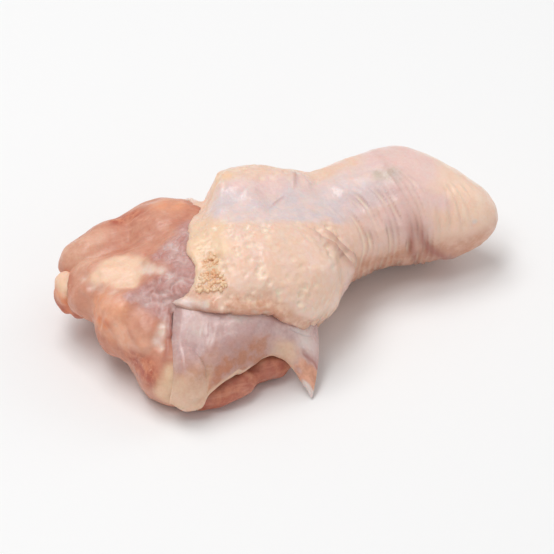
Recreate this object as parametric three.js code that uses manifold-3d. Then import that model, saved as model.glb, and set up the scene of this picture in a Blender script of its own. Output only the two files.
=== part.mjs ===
// A raw chicken drumette: the first joint of the wing, lying on its side as it is sold.
// +X runs along the bone from the cut shoulder end to the elbow end, +Z is up, and the origin is
// on the flat where the meat rests. Millimetres.
//
// The drumette is one piece of food, so it is one closed solid. It is joined from three shapes:
//   meat   the bare muscles of the shoulder end, the bone's end and the mass under the skin
//   skin   a loose sleeve over the elbow, neck and body, open at the shoulder end
//   flap   the web of skin that hangs from under the sleeve's front fold and ends in a spike
import * as THREE from 'three';
import { mergeVertices } from 'three/addons/utils/BufferGeometryUtils.js';
import Module from 'manifold-3d';

// ---- Driving dimensions ------------------------------------------------------------------

const SHOULDER_HUB = [-33, 0, 13]; // where the middle line ends inside the cut shoulder end
const MIDDLE_PULL = [1, 14]; // y and z that pull the middle line towards the thick of the body
const ELBOW_HUB = [40, 7, 13.5]; // where the middle line ends inside the elbow
const SHOULDER_ARC = 14; // nominal radius of the shoulder end, which spaces the rows there
const ELBOW_ARC = 12; // the same for the elbow end

const SKIN_THICKNESS = 2.4; // at the rolled rim of the sleeve
const RIM_X = -20; // mean place of the sleeve's open rim
const RIM_SLANT = 5; // the rim reaches this much further at the front than at the back
const RIM_WAVE = 1.5; // height of the three waves in the rim
const LINING_DEPTH = 7; // how far the sleeve's inside runs back before it closes in the meat
const MEAT_STOP = 14; // the meat under the skin stops this much short of the elbow end

// The front fold's seam, where the flap comes out from under the sleeve. Its place is a share of the
// way round from the front, and the lengths are millimetres past the shoulder hub.
const SEAM_START = 0.067;
const SEAM_FALL = 0.00125; // how much it falls for each millimetre
const SEAM_BEND = 25; // from here on it falls faster
const SEAM_DIVE = 0.0055; // by this much more for each millimetre
const SEAM_END = 42;
const TUCK_DEPTH = 2.6; // how far the sleeve is drawn in below the seam
const TUCK_RISE = 0.025; // share of the way round over which it draws in
const TUCK_FADE = 0.13; // and over which it comes out again

const FLAP_THICKNESS = 1.8;
const FLAP_EDGE = 0.35; // thickness left at the flap's edges, as a share
const FLAP_TAPER = 0.125; // share of the flap's width over which it thins to that
const FLAP_BILLOW = 2.6; // how far the sheet stands out between root and hem
const FLAP_LIFT = 0.7; // the sheet's middle clears the muscles by this much

const MEAT_BLEND = 1.1; // how softly one muscle runs into the next
const SKIN_BLEND = 2.6; // the skin bridges the valleys between muscles
const BALL_BLEND = 0.6;
const GRAZE = 6; // rounds a lobe off where a ray only grazes it, in square millimetres
const SKIRT = 12; // how wide a lobe's soft skirt is, in square millimetres

// Rows and columns of each surface.
const MEAT_GRID = [46, 48];
const SKIN_GRID = [56, 48];
const FLAP_GRID = [30, 12];
const BONE_GRID = [12, 16];
const UNDER_GRID = [22, 28];
const ROW_CROWDING = 1.3; // the meat's rows are closer at the shoulder end, where the muscles are small
const LINING_ROWS = 0.18; // share of the sleeve's rows that the lining takes
const RIM_ROWS = 0.28; // share that the lining and the rim take together
const LOWEST = -1; // no surface hangs further below the flat than this

// Each muscle or bulge is an ellipsoid: its middle, its half sizes and its turn about Z in degrees.
const MUSCLES = {
  core: { at: [-9, 1, 12.5], half: [38, 12, 11], turn: 4 },
  thick: { at: [-14, -5, 12.5], half: [26, 19, 13.5], turn: 0 },
  upperSlab: { at: [-33, 10, 14.5], half: [14.5, 7.2, 8.2], turn: 8 },
  upperRise: { at: [-22, 9, 14.5], half: [12, 12, 11], turn: 0 },
  tendonPad: { at: [-35, -2, 15], half: [10, 8, 6.5], turn: 0 },
  padEnd: { at: [-41, 1.5, 13.5], half: [6, 6.5, 6.2], turn: 0 },
  frontLobe: { at: [-36.2, -10.5, 12.5], half: [8, 8.6, 9], turn: 20 },
  bridge: { at: [-33, -15.5, 11.5], half: [8, 9, 8.5], turn: 18 },
  lowerLobe: { at: [-30.8, -21, 7.2], half: [8, 11.6, 8.5], turn: 16 },
};
const SKIN_BULGES = {
  body: { at: [-8, -4, 14], half: [24, 19, 14], turn: 0 },
  topBump: { at: [-4, 9, 18], half: [17, 11, 12], turn: 0 },
  frontRoll: { at: [-8, -13, 18], half: [20, 12, 9], turn: 8 },
  neck: { at: [21, 9, 15.5], half: [18, 11, 11], turn: 4 },
  knob: { at: [32, 9, 15], half: [12.5, 12, 12], turn: 0 },
  tip: { at: [40, 4.5, 12.5], half: [13, 8.5, 8.5], turn: -14 },
};

// The muscle that shows under the flap. Its rays start at a hub of its own.
const UNDER_HUB = [-19, -18, 4];
const UNDER_LOBES = {
  underLobe: { at: [-23, -20, 3.5], half: [13.5, 13.2, 5.5], turn: 0 },
  underTail: { at: [-11, -17.5, 4], half: [10.5, 10.7, 5], turn: 0 },
};

// The bone's end, which sticks out of the cut, with a hub of its own.
const BONE_HUB = [-45.5, 2.4, 11.4];
const BONE_LOBES = {
  left: { at: [-47.5, 3.4, 11.2], half: [2.3, 4.2, 5], turn: 0 },
  right: { at: [-44.6, 0.4, 11.4], half: [2.9, 4.2, 4.7], turn: 0 },
  cap: { at: [-46.7, 4.5, 14.6], half: [3, 3, 2.6], turn: 0 },
  root: { at: [-42.5, 2.5, 12.5], half: [4, 4, 4.5], turn: 0 },
};

// The flap is a sheet between a root tucked in at the seam and a hem, each a smooth curve from the
// shoulder side to the elbow side. The hem rises in an arch and drops to the spike.
const FLAP_ROOT = [
  [-27.5, -16.5, 19.5],
  [-19, -21, 20],
  [-10, -23, 18.5],
  [-3.5, -22.5, 14],
  [4, -18, 8.5],
];
const FLAP_HEM = [
  [-33.4, -31.9, 4.6],
  [-28.6, -33.4, 2.8],
  [-24.5, -32.8, 6.2],
  [-19.5, -30.5, 7.3],
  [-14.7, -28, 7.7],
  [-9.8, -26, 7.6],
  [-6.2, -26.8, 6.5],
  [-3.9, -30.4, 4],
  [-2, -34.2, 0.9],
];
const FLAP_OUT = [0, -0.6, 0.8]; // the way that the flap's outside faces

// ---- Rays from the middle line ------------------------------------------------------------

const LENGTH_OF_LINE = ELBOW_HUB[0] - SHOULDER_HUB[0];
const middleLine = new THREE.QuadraticBezierCurve3(
  new THREE.Vector3(...SHOULDER_HUB),
  new THREE.Vector3((SHOULDER_HUB[0] + ELBOW_HUB[0]) / 2, ...MIDDLE_PULL),
  new THREE.Vector3(...ELBOW_HUB),
);

// A ray from the middle line. along is millimetres of x past the shoulder hub; beyond either hub the
// rays fan round the end. around is 0 at the front, a quarter at the top and a half at the back.
function rayAt(along, around) {
  const inside = THREE.MathUtils.clamp(along, 0, LENGTH_OF_LINE);
  const beyond = along - inside;
  const tilt = beyond / (beyond < 0 ? SHOULDER_ARC : ELBOW_ARC);
  const angle = 2 * Math.PI * around;
  return {
    from: middleLine.getPoint(inside / LENGTH_OF_LINE),
    way: new THREE.Vector3(
      Math.sin(tilt),
      -Math.cos(tilt) * Math.cos(angle),
      Math.cos(tilt) * Math.sin(angle),
    ),
  };
}

const FIRST_ROW = (-Math.PI / 2) * SHOULDER_ARC;
const LAST_ROW = LENGTH_OF_LINE + (Math.PI / 2) * ELBOW_ARC;

// Distance along a ray to the far side of an ellipsoid. A ray that misses it runs only part of the
// way to where it passes closest, so the shape has a soft skirt and no cliff.
function reachOf({ at, half, turn }, { from, way }) {
  const a = THREE.MathUtils.degToRad(-turn);
  const intoUnit = (x, y, z) =>
    new THREE.Vector3(
      (x * Math.cos(a) - y * Math.sin(a)) / half[0],
      (x * Math.sin(a) + y * Math.cos(a)) / half[1],
      z / half[2],
    );
  const o = intoUnit(from.x - at[0], from.y - at[1], from.z - at[2]);
  const d = intoUnit(way.x, way.y, way.z);
  const dd = d.lengthSq();
  const nearest = -o.dot(d) / dd;
  const depth = nearest * nearest - (o.lengthSq() - 1) / dd;
  const hit = 1 / (1 + Math.exp(-depth / SKIRT));
  const softDepth = Math.max(depth, 0) + GRAZE * Math.log1p(Math.exp(-Math.abs(depth) / GRAZE));
  return nearest * hit + Math.sqrt(softDepth);
}

// The largest reach of several lobes, rounded off over the blend distance where two are nearly equal.
function reachOfAll(lobes, ray, blend) {
  const reaches = Object.values(lobes).map((lobe) => reachOf(lobe, ray));
  const top = Math.max(...reaches);
  return top + blend * Math.log(reaches.reduce((sum, reach) => sum + Math.exp((reach - top) / blend), 0));
}

const pointOn = (ray, reach) => ray.from.clone().addScaledVector(ray.way, reach);

// ---- Surfaces -------------------------------------------------------------------------------

const wasm = await Module();
wasm.setup();

function solidOf(geometry) {
  const bare = geometry.clone();
  bare.deleteAttribute('normal');
  bare.deleteAttribute('uv');
  const merged = mergeVertices(bare, 1e-4);
  return new wasm.Manifold(
    new wasm.Mesh({
      numProp: 3,
      vertProperties: merged.getAttribute('position').array,
      triVerts: new Uint32Array(merged.index.array),
    }),
  );
}

// A ball's grid with its points moved: down runs 0 to 1 from the pole at the shoulder to the pole at
// the elbow, and around 0 to 1 round it. Nothing reaches far below the flat, which is cut later.
function closedSolid([rows, columns], pointAt) {
  const grid = new THREE.SphereGeometry(1, columns, rows);
  const place = grid.getAttribute('position');
  const uv = grid.getAttribute('uv');
  for (let i = 0; i < place.count; i++) {
    const row = Math.round((1 - uv.getY(i)) * rows);
    const isPole = row === 0 || row === rows;
    const column = isPole ? 0 : Math.round(uv.getX(i) * columns) % columns;
    const p = pointAt(row / rows, column / columns);
    place.setXYZ(i, p.x, p.y, Math.max(p.z, LOWEST));
  }
  return solidOf(grid);
}

function meat() {
  return closedSolid(MEAT_GRID, (down, around) => {
    const along = THREE.MathUtils.lerp(FIRST_ROW, LAST_ROW - MEAT_STOP, down ** ROW_CROWDING);
    const ray = rayAt(along, around);
    return pointOn(ray, reachOfAll(MUSCLES, ray, MEAT_BLEND));
  });
}

// A ball of lobes whose rays all start at one hub, with poles along X.
function lobedBall(grid, hub, lobes) {
  const from = new THREE.Vector3(...hub);
  return closedSolid(grid, (down, around) => {
    const tilt = Math.PI * (down - 0.5);
    const angle = 2 * Math.PI * around;
    const way = new THREE.Vector3(
      Math.sin(tilt),
      -Math.cos(tilt) * Math.cos(angle),
      Math.cos(tilt) * Math.sin(angle),
    );
    return pointOn({ from, way }, reachOfAll(lobes, { from, way }, BALL_BLEND));
  });
}

// Where the sleeve's rim lies round the body, in millimetres past the shoulder hub.
function rimAlong(around) {
  const angle = 2 * Math.PI * around;
  return RIM_X - SHOULDER_HUB[0] - RIM_SLANT * Math.cos(angle) + RIM_WAVE * Math.sin(3 * angle);
}

// How far the sleeve is drawn in under its front fold. past is how far round below the seam.
function tuckAt(along, around) {
  const fromFront = ((around + 0.5) % 1) - 0.5;
  const seam = SEAM_START - SEAM_FALL * along - SEAM_DIVE * Math.max(along - SEAM_BEND, 0);
  const past = seam - fromFront;
  const rise = THREE.MathUtils.smoothstep(past, 0, TUCK_RISE);
  const fade = THREE.MathUtils.smoothstep(past, TUCK_RISE, TUCK_RISE + TUCK_FADE);
  return TUCK_DEPTH * rise * (1 - fade) * (1 - THREE.MathUtils.smoothstep(along, SEAM_BEND, SEAM_END));
}

function skinReach(along, around) {
  const bulged = reachOfAll({ ...MUSCLES, ...SKIN_BULGES }, rayAt(along, around), SKIN_BLEND);
  return bulged - tuckAt(along, around);
}

// The sleeve in three stretches: a lining that closes on the middle line inside the meat, a half
// round rim, and the outside from the rim to the elbow.
function skin() {
  const liningPole = middleLine.getPoint((RIM_X + LINING_DEPTH - SHOULDER_HUB[0]) / LENGTH_OF_LINE);
  return closedSolid(SKIN_GRID, (down, around) => {
    const rim = rimAlong(around);
    if (down === 0) return liningPole;
    if (down < LINING_ROWS) {
      const inward = 1 - down / LINING_ROWS;
      const along = rim + LINING_DEPTH * inward;
      const reach = (skinReach(along, around) - SKIN_THICKNESS) * (1 - inward ** 3);
      return pointOn(rayAt(along, around), reach);
    }
    if (down < RIM_ROWS) {
      const roll = (Math.PI * (RIM_ROWS - down)) / (RIM_ROWS - LINING_ROWS);
      const along = rim - (SKIN_THICKNESS / 2) * Math.sin(roll);
      const sunk = (SKIN_THICKNESS / 2) * (1 - Math.cos(roll));
      return pointOn(rayAt(along, around), skinReach(along, around) - sunk);
    }
    const along = THREE.MathUtils.mapLinear(down, RIM_ROWS, 1, rim, LAST_ROW);
    return pointOn(rayAt(along, around), skinReach(along, around));
  });
}

// Moves a point that lies too close over the muscles, or inside them, out along its ray.
function draped(point) {
  const share = THREE.MathUtils.clamp((point.x - SHOULDER_HUB[0]) / LENGTH_OF_LINE, 0, 1);
  const from = middleLine.getPoint(share);
  const way = point.clone().sub(from);
  const away = way.length();
  const ray = { from, way: way.normalize() };
  const covered = reachOfAll({ ...MUSCLES, ...UNDER_LOBES }, ray, MEAT_BLEND);
  return pointOn(ray, Math.max(away, covered + FLAP_LIFT));
}

// The flap's sheet: across runs 0 to 1 from the shoulder side, down 0 to 1 from root to hem, and
// through is minus a half on its inside and plus a half on its outside. It thins towards its edges.
function flap() {
  const rail = (points) => new THREE.CatmullRomCurve3(points.map((p) => new THREE.Vector3(...p)));
  const root = rail(FLAP_ROOT);
  const hem = rail(FLAP_HEM);
  const out = new THREE.Vector3(...FLAP_OUT);
  const sheet = new THREE.BoxGeometry(1, 1, 1, ...FLAP_GRID, 1);
  const place = sheet.getAttribute('position');
  for (let i = 0; i < place.count; i++) {
    const across = place.getX(i) + 0.5;
    const down = 0.5 - place.getY(i);
    const through = place.getZ(i);
    const fromEdge = Math.min(across, 1 - across, (1 - down) / 2);
    const fullness = THREE.MathUtils.lerp(FLAP_EDGE, 1, Math.min(1, fromEdge / FLAP_TAPER));
    const billow = FLAP_BILLOW * Math.sin(Math.PI * down);
    const sheetPoint = root.getPoint(across).lerp(hem.getPoint(across), down).addScaledVector(out, billow);
    const p = draped(sheetPoint).addScaledVector(out, FLAP_THICKNESS * fullness * through);
    place.setXYZ(i, p.x, p.y, p.z);
  }
  return solidOf(sheet);
}

// ---- The piece -------------------------------------------------------------------------------

const FLOOR_WIDTH = 300;
const FLOOR_DEPTH = 40;
const floor = new THREE.BoxGeometry(FLOOR_WIDTH, FLOOR_WIDTH, FLOOR_DEPTH);
floor.translate(0, 0, -FLOOR_DEPTH / 2);
const muscle = meat().add(lobedBall(UNDER_GRID, UNDER_HUB, UNDER_LOBES));
const bared = muscle.add(lobedBall(BONE_GRID, BONE_HUB, BONE_LOBES));
const joined = bared.add(skin()).add(flap()).subtract(solidOf(floor));

// The outer shell alone, so that pockets shut in between meat and skin are filled with meat.
const whole = joined.decompose().reduce((best, body) => (body.volume() > best.volume() ? body : best));

function meshOf(solid, name, material) {
  const { numProp, vertProperties, triVerts } = solid.getMesh();
  const geometry = new THREE.BufferGeometry();
  geometry.setAttribute('position', new THREE.BufferAttribute(vertProperties, numProp));
  geometry.setIndex(new THREE.BufferAttribute(triVerts, 1));
  geometry.computeVertexNormals();
  const mesh = new THREE.Mesh(geometry, material);
  mesh.name = name;
  return mesh;
}

const rawChicken = new THREE.MeshStandardMaterial({ color: 0xe6c0ab, roughness: 0.35, metalness: 0 });
const drumette = new THREE.Group();
drumette.add(meshOf(whole, 'drumette', rawChicken));

export default drumette;
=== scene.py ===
"""The looks of a raw chicken drumette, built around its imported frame.

Every visible piece is a surface worked out with numpy. Sizes inside the shape functions are in
millimetres, as on the frame's drawing, and a finished mesh is in metres. +X runs along the bone from
the cut shoulder end to the elbow end and +Z is up.
"""

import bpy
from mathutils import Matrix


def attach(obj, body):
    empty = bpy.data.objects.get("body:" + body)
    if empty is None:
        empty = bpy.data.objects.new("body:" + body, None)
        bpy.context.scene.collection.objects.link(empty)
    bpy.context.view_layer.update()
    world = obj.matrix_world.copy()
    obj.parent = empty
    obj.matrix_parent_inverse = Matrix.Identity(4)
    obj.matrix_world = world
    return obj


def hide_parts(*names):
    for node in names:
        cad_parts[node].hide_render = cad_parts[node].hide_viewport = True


bl_info = {
    "name": "Raw Chicken Drumette",
    "version": (1, 0, 0),
    "blender": (4, 5, 0),
    "location": "3D View > Sidebar > Drumette",
    "description": "Builds the skin, meat, flap, fat and tissue of a raw chicken drumette",
    "category": "Add Mesh",
}

import bpy
import numpy as np
from bpy.props import FloatProperty, FloatVectorProperty, PointerProperty
from mathutils import Vector

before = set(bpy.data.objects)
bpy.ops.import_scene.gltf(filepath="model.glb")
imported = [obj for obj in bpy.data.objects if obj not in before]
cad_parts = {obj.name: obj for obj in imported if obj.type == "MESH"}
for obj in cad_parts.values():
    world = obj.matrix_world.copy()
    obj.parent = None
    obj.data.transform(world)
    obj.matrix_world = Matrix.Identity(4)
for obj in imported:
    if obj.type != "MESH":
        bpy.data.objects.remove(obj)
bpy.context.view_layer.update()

MM = 0.001
BODY = "root"
NODE = "drumette"

# ---- The shape's driving dimensions, in millimetres ------------------------------------------

SHOULDER_HUB = np.array([-33.0, 0.0, 13.0])  # where the middle line ends inside the cut end
ELBOW_HUB = np.array([40.0, 7.0, 13.5])  # where it ends inside the elbow
MIDDLE_PULL = (1.0, 14.0)  # y and z that pull the middle line towards the thick of the body
SHOULDER_ARC = 14.0  # nominal radius of the shoulder end, which spaces the rows there
ELBOW_ARC = 12.0
LINE_LENGTH = ELBOW_HUB[0] - SHOULDER_HUB[0]
FIRST_ROW = -np.pi / 2 * SHOULDER_ARC
LAST_ROW = LINE_LENGTH + np.pi / 2 * ELBOW_ARC

MEAT_BLEND = 1.1  # how softly one muscle runs into the next
SKIN_BLEND = 2.6  # the skin bridges the valleys between muscles
GRAZE = 6.0  # rounds a lobe off where a ray only grazes it, in square millimetres
SKIRT = 12.0  # how wide a lobe's soft skirt is, in square millimetres

# Each muscle or bulge is an ellipsoid: middle, half sizes, turn about Z in degrees.
MUSCLES = {
    "core": ((-9, 1, 12.5), (38, 12, 11), 4),
    "thick": ((-14, -5, 12.5), (26, 19, 13.5), 0),
    "upper slab": ((-33, 10, 14.5), (14.5, 7.2, 8.2), 8),
    "upper rise": ((-22, 9, 14.5), (12, 12, 11), 0),
    "tendon pad": ((-35, -2, 15), (10, 8, 6.5), 0),
    "pad end": ((-41, 1.5, 13.5), (6, 6.5, 6.2), 0),
    "front lobe": ((-36.2, -10.5, 12.5), (8, 8.6, 9), 20),
    "bridge": ((-33, -15.5, 11.5), (8, 9, 8.5), 18),
    "lower lobe": ((-30.8, -21, 7.2), (8, 11.6, 8.5), 16),
}
UNDER_HUB = np.array([-19.0, -18.0, 4.0])  # the muscle under the flap has a ray hub of its own
UNDER_LOBES = {
    "under lobe": ((-23, -20, 3.5), (13.5, 13.2, 5.5), 0),
    "under tail": ((-11, -17.5, 4), (10.5, 10.7, 5), 0),
}
UNDER_BLEND = 0.6
# The bone's end, whose rays start at its own middle.
BONE_HUB = np.array([-45.5, 2.4, 11.4])
BONE_LOBES = {
    "left": ((-47.5, 3.4, 11.2), (2.3, 4.2, 5), 0),
    "right": ((-44.6, 0.4, 11.4), (2.9, 4.2, 4.7), 0),
    "cap": ((-46.7, 4.5, 14.6), (3, 3, 2.6), 0),
    "root": ((-42.5, 2.5, 12.5), (4, 4, 4.5), 0),
}
BONE_BLEND = 0.35
SKIN_BULGES = {
    "body": ((-8, -4, 14), (24, 19, 14), 0),
    "top bump": ((-4, 9, 18), (17, 11, 12), 0),
    "front roll": ((-8, -13, 18), (20, 12, 9), 8),
    "neck": ((21, 9, 15.5), (18, 11, 11), 4),
    "knob": ((32, 9, 15), (12.5, 12, 12), 0),
    "tip": ((40, 4.5, 12.5), (13, 8.5, 8.5), -14),
}

# The front fold's seam, where the flap comes out from under the sleeve. Its place is a share of the
# way round from the front, and the lengths are millimetres past the shoulder hub.
SEAM_START = 0.067
SEAM_FALL = 0.00125  # how much it falls for each millimetre
SEAM_BEND = 25.0  # from here on it falls faster
SEAM_DIVE = 0.0055  # by this much more for each millimetre
SEAM_END = 42.0
TUCK_DEPTH = 2.8  # how far the sleeve is drawn in below the seam
TUCK_RISE = 0.014  # share of the way round over which it draws in
TUCK_FADE = 0.14  # and over which it comes out again

# The sleeve's rim: share of the way round from the front, and millimetres past the shoulder hub.
RIM_PLACES = (
    (-0.25, 12.0),
    (-0.12, 14.0),
    (-0.02, 14.0),
    (0.03, 11.0),
    (0.052, 6.5),
    (0.062, 5.8),
    (0.07, 8.5),
    (0.088, 10.6),
    (0.117, 12.0),
    (0.154, 11.9),
    (0.2, 12.7),
    (0.26, 14.4),
    (0.322, 17.2),
    (0.42, 19.0),
    (0.55, 16.0),
    (0.66, 13.0),
    (0.75, 12.0),
)
RIM_LIFT = 0.9  # the rim hugs the muscles, and its top clears them by this much
LOW_LIFT = 0.3  # and by only this much beside the lump, which lies this far round
LOW_LIFT_ROUND = 0.34
LOW_LIFT_WIDTH = 0.06  # as a share of the way round
RIM_HUG = 7.0  # over this distance the sleeve rises from the muscles to its own bulges
LINING_DEPTH = 7.0  # the sleeve's lining runs this far in before it closes on the middle line
MEAT_END = 38.0  # the meat closes this far past the shoulder hub, inside the sleeve
MEAT_SINK = 1.6  # and under the sleeve it lies this much lower

# The lump of muscle and fat in the corner between the upper slab and the rim.
RIM_LUMPS = {
    "lump": ((-22.4, 12.2, 22.6), (3.6, 3.4, 3.9), 0),
    "lump by the rim": ((-18.6, 10.0, 23.9), (3.0, 3.8, 3.9), 0),
}
# Grains of fat, tried in two patches: how many, the first and last place past the shoulder hub, the
# first and last share of the way round, and the radius.
FAT_GRAINS = (
    (300, 9.8, 15.8, 0.074, 0.142, 0.42),
    (60, 11.6, 14.6, 0.13, 0.2, 0.34),
)
GRAIN_PAST_RIM = 0.4  # a grain is kept if it lies this far past the rim
GRAIN_SPREAD = (0.55, 1.25)  # its radius varies by this factor
GRAIN_STRETCH = (0.8, 1.35)  # and each of its three half sizes by this one
GRAIN_SUNK = 0.2  # share of its radius by which its middle lies under the surface

# The flap is a sheet between a root tucked in at the seam and a hem, each from the shoulder side to the
# elbow side. The hem rises in an arch and drops to the spike.
FLAP_ROOT = ((-27.5, -16.5, 19.5), (-19, -21, 20), (-10, -23, 18.5), (-3.5, -22.5, 14), (4, -18, 8.5))
FLAP_HEM = (
    (-33.4, -31.9, 4.6),
    (-28.6, -33.4, 2.8),
    (-24.5, -32.8, 6.2),
    (-19.5, -30.5, 7.3),
    (-14.7, -28, 7.7),
    (-9.8, -26, 7.6),
    (-6.2, -26.8, 6.5),
    (-3.9, -30.4, 4),
    (-2, -34.2, 0.6),
)
FLAP_OUT = np.array([0.0, -0.6, 0.8])  # the way that its outside faces
FLAP_BILLOW = 2.6  # how far the sheet stands out between root and hem
FLAP_LIFT = 1.2  # the sheet's middle clears the muscles by this much
FLAP_LEFT_LIFT = 1.3  # and stands further off along its left edge
SPIKE_SWELL = 0.7  # the sheet's elbow side bows out by this much
CORNER_SWELL = 1.0  # and its shoulder side by this much

# The flap's thickness closes over these shares of its width by the shoulder and by the elbow, and of
# its length by the hem.
EDGE_SHARES = (1 / 12, 1 / 7, 1 / 9)
FLAP_SOFTNESS = 0.2  # how far from the floor its lowest edge begins to flatten
FLOOR_SOFTNESS = 0.5  # and that of every other piece

SLAB_TURN = 8.0  # degrees about Z to the fibres of the upper slab
STRAND_TURN = 36.87  # and to the strands in the tissue
PAD_SPREAD = 1.2  # the pad's cream colour reaches further than its relief, by this factor
SKIN_SHADE_LIMIT = 0.85  # the highest value of the crease mark, which is painted shade, on skin
MEAT_SHADE_LIMIT = 0.8  # and on muscle

# Creases drawn on the skin as short smooth paths.
TOP_NICK = ((7.8, 10.9, 27.5), (6.8, 7.5, 28.3), (5.8, 4.4, 28.1))
TOP_SCRATCH = ((-1.5, -1.2, 29.0), (0.5, 0.6, 28.8), (3.0, 2.6, 28.3))
# Folds where body and neck meet, each with its width and depth.
NECK_FOLDS = (
    (
        (
            (4.5, -7.5, 26.8),
            (7.9, -10.5, 24.1),
            (10.5, -11.8, 21.6),
            (12.6, -12.4, 18.1),
            (14.4, -11.4, 14.4),
        ),
        0.75,
        1.1,
    ),
    (
        (
            (8.5, -7.0, 25.2),
            (10.5, -8.2, 22.8),
            (12.8, -9.6, 20.0),
            (14.6, -9.8, 17.0),
            (15.8, -9.2, 13.6),
        ),
        0.6,
        0.9,
    ),
    (((3.0, -10.0, 25.6), (5.5, -12.5, 23.0), (8.0, -14.2, 20.2), (9.6, -14.6, 17.6)), 0.6, 0.55),
    (((12.5, -5.5, 23.6), (14.8, -7.0, 20.4), (16.6, -7.6, 17.2), (17.6, -7.4, 14.0)), 0.5, 0.5),
)
# The lower border of the bluish band: millimetres past the shoulder hub, and share of the way round.
BAND_BORDER = ((14.0, 0.205), (20.0, 0.19), (33.0, 0.147), (45.0, 0.135), (60.0, 0.14))
BAND_BACK = (0.26, 0.36)  # the band fades out towards the back over this share of the way round
# Two creases between neck and elbow: share of the way round, and how many millimetres past the
# shoulder hub the one by the elbow and the one by the neck lie there.
ELBOW_CREASES = (
    (-0.25, 76.0, 65.0),
    (-0.12, 74.5, 65.5),
    (-0.075, 72.0, 64.6),
    (-0.037, 68.6, 63.8),
    (0.013, 66.0, 63.2),
    (0.076, 64.9, 62.9),
    (0.131, 63.9, 62.4),
    (0.185, 62.9, 61.5),
    (0.26, 62.0, 60.5),
)

# Stretches over which something fades in or out: millimetres past the shoulder hub.
BODY_END = (42, 50)  # of goosebumps
NECK = (46, 55, 67, 71)  # of ring wrinkles: in over the first two, out over the last two
KNOB = (66, 70, 82, 88)  # of the elbow's faint rings
FOLD_END = (38, 50)  # of the tan skin below the front fold
BAND_END = (58, 68)  # of the bluish band
RING_CURVE = 100.0  # how strongly the neck's rings bow towards the elbow
KNOB_RING_SPACING = 2.6  # millimetres between the elbow's faint rings

# Layers of noise that are summed: height in millimetres, size and seed.
SKIN_LUMPS = ((0.55, 9.0, 11), (0.34, 4.2, 12), (0.13, 1.9, 13))
RING_WOBBLE = ((0.8, 9.0, 16), (0.3, 4.0, 17))
MEAT_LUMPS = ((0.5, 7.0, 34), (0.22, 3.0, 35), (0.08, 1.4, 39))
UNDER_LUMPS = ((0.5, 5.0, 52), (0.25, 2.2, 53))
BONE_LUMPS = ((0.25, 2.6, 54), (0.12, 1.1, 55))
FLAP_FOLDS = ((0.5, (9.0, 14.0, 1.0), 41), (0.28, (3.5, 6.0, 1.0), 42), (0.1, (1.4, 2.0, 1.0), 43))
RIM_WAVES = ((0.6, 3.6, 3), (0.15, 1.3, 5))  # taken round a circle of RIM_RADIUS
RIM_RADIUS = 20.0
# The same with heights that are shares, of the way round and of the flap's length.
BAND_WANDER = ((0.02, 8.0, 24), (0.008, 2.5, 25))
FLAP_WANDER = ((0.06, 4.0, 46), (0.03, 1.6, 47))

# Every mark that colours muscle.
MEAT_MARKS = (
    "orange",
    "light",
    "bright",
    "red",
    "tan",
    "fibre",
    "tissue",
    "strand",
    "cream",
    "white",
    "olive",
    "crease_shade",
)

# Soft spots of colour: x, y, z and size.
PAD_SPOTS = (
    (-31.9, -4.6, 22.6, 1.5),
    (-38.0, -0.6, 21.3, 1.9),
    (-39.2, -4.2, 20.8, 1.9),
    (-35.4, -1.4, 21.9, 1.9),
    (-36.5, -5.2, 21.3, 2.3),
    (-37.3, -7.4, 20.6, 1.7),
    (-33.4, -2.8, 22.3, 1.8),
    (-34.1, -6.4, 21.6, 2.1),
    (-35.5, -8.4, 21.0, 1.5),
    (-41.4, -3.3, 19.9, 1.7),
)
PALE_SPOTS = (
    (-41.2, -6.2, 18.9, 1.5),
    (-42.9, -4.6, 18.6, 1.4),
    (-39.6, -9.4, 20.0, 1.3),
    (-43.8, -1.2, 18.4, 1.2),
)
TENDON_SPOTS = ((-31.6, -6.6, 22.5, 1.5), (-30.2, -8.0, 22.9, 1.5), (-28.6, -9.4, 23.1, 1.2))
# Painted shadows beside the tendon's end.
TENDON_SHADOW_SPOTS = ((-30.0, -10.3, 22.5, 1.3), (-31.2, -4.6, 22.9, 1.0), (-26.8, -10.8, 23.6, 0.9))
FAT_SPOTS = (
    (-32.2, -22.4, 16.7, 1.4),
    (-33.6, -23.3, 15.6, 1.2),
    (-31.6, -21.0, 17.7, 1.1),
    (-32.8, -24.6, 14.7, 0.9),
)
MEMBRANE_SPOTS = (
    (-28.0, -5.2, 23.9, 1.8),
    (-25.5, -3.0, 24.6, 2.0),
    (-25.4, -7.5, 24.5, 2.2),
    (-22.6, -6.0, 25.1, 2.4),
    (-23.6, -10.9, 24.3, 2.6),
    (-26.8, -12.2, 23.1, 2.2),
    (-29.6, -12.8, 22.0, 2.2),
    (-33.0, -12.0, 20.9, 2.2),
    (-36.4, -13.1, 20.6, 1.7),
    (-33.0, -14.8, 19.9, 2.4),
    (-29.2, -14.8, 21.0, 2.6),
    (-25.5, -15.4, 22.0, 2.6),
    (-31.2, -17.6, 19.1, 2.4),
    (-28.6, -18.5, 18.6, 2.2),
    (-29.5, -21.0, 17.0, 1.6),
)
LIGHT_SPOTS = (
    (-39.5, -18.4, 14.6, 3.0),
    (-41.2, -15.0, 16.0, 2.4),
    (-36.6, -22.6, 14.4, 2.2),
    (-39.8, -11.6, 18.6, 2.4),
    # A painted patch of light on the front lobe.
    (-39.5, -20.1, 13.2, 1.9),
)
ORANGE_SPOTS = (
    (-42.8, -9.0, 16.8, 3.6),
    (-42.6, -13.2, 16.2, 3.6),
    (-41.5, -16.1, 14.6, 3.0),
    (-39.8, -15.1, 18.6, 2.6),
    (-20.1, 10.4, 25.6, 3.2),
    (-22.8, 12.0, 25.0, 2.6),
)
BRIGHT_ORANGE_SPOTS = ((-42.5, -14.4, 15.4, 1.5), (-43.4, -12.0, 15.2, 1.1), (-43.9, -9.6, 14.6, 0.9))
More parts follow.
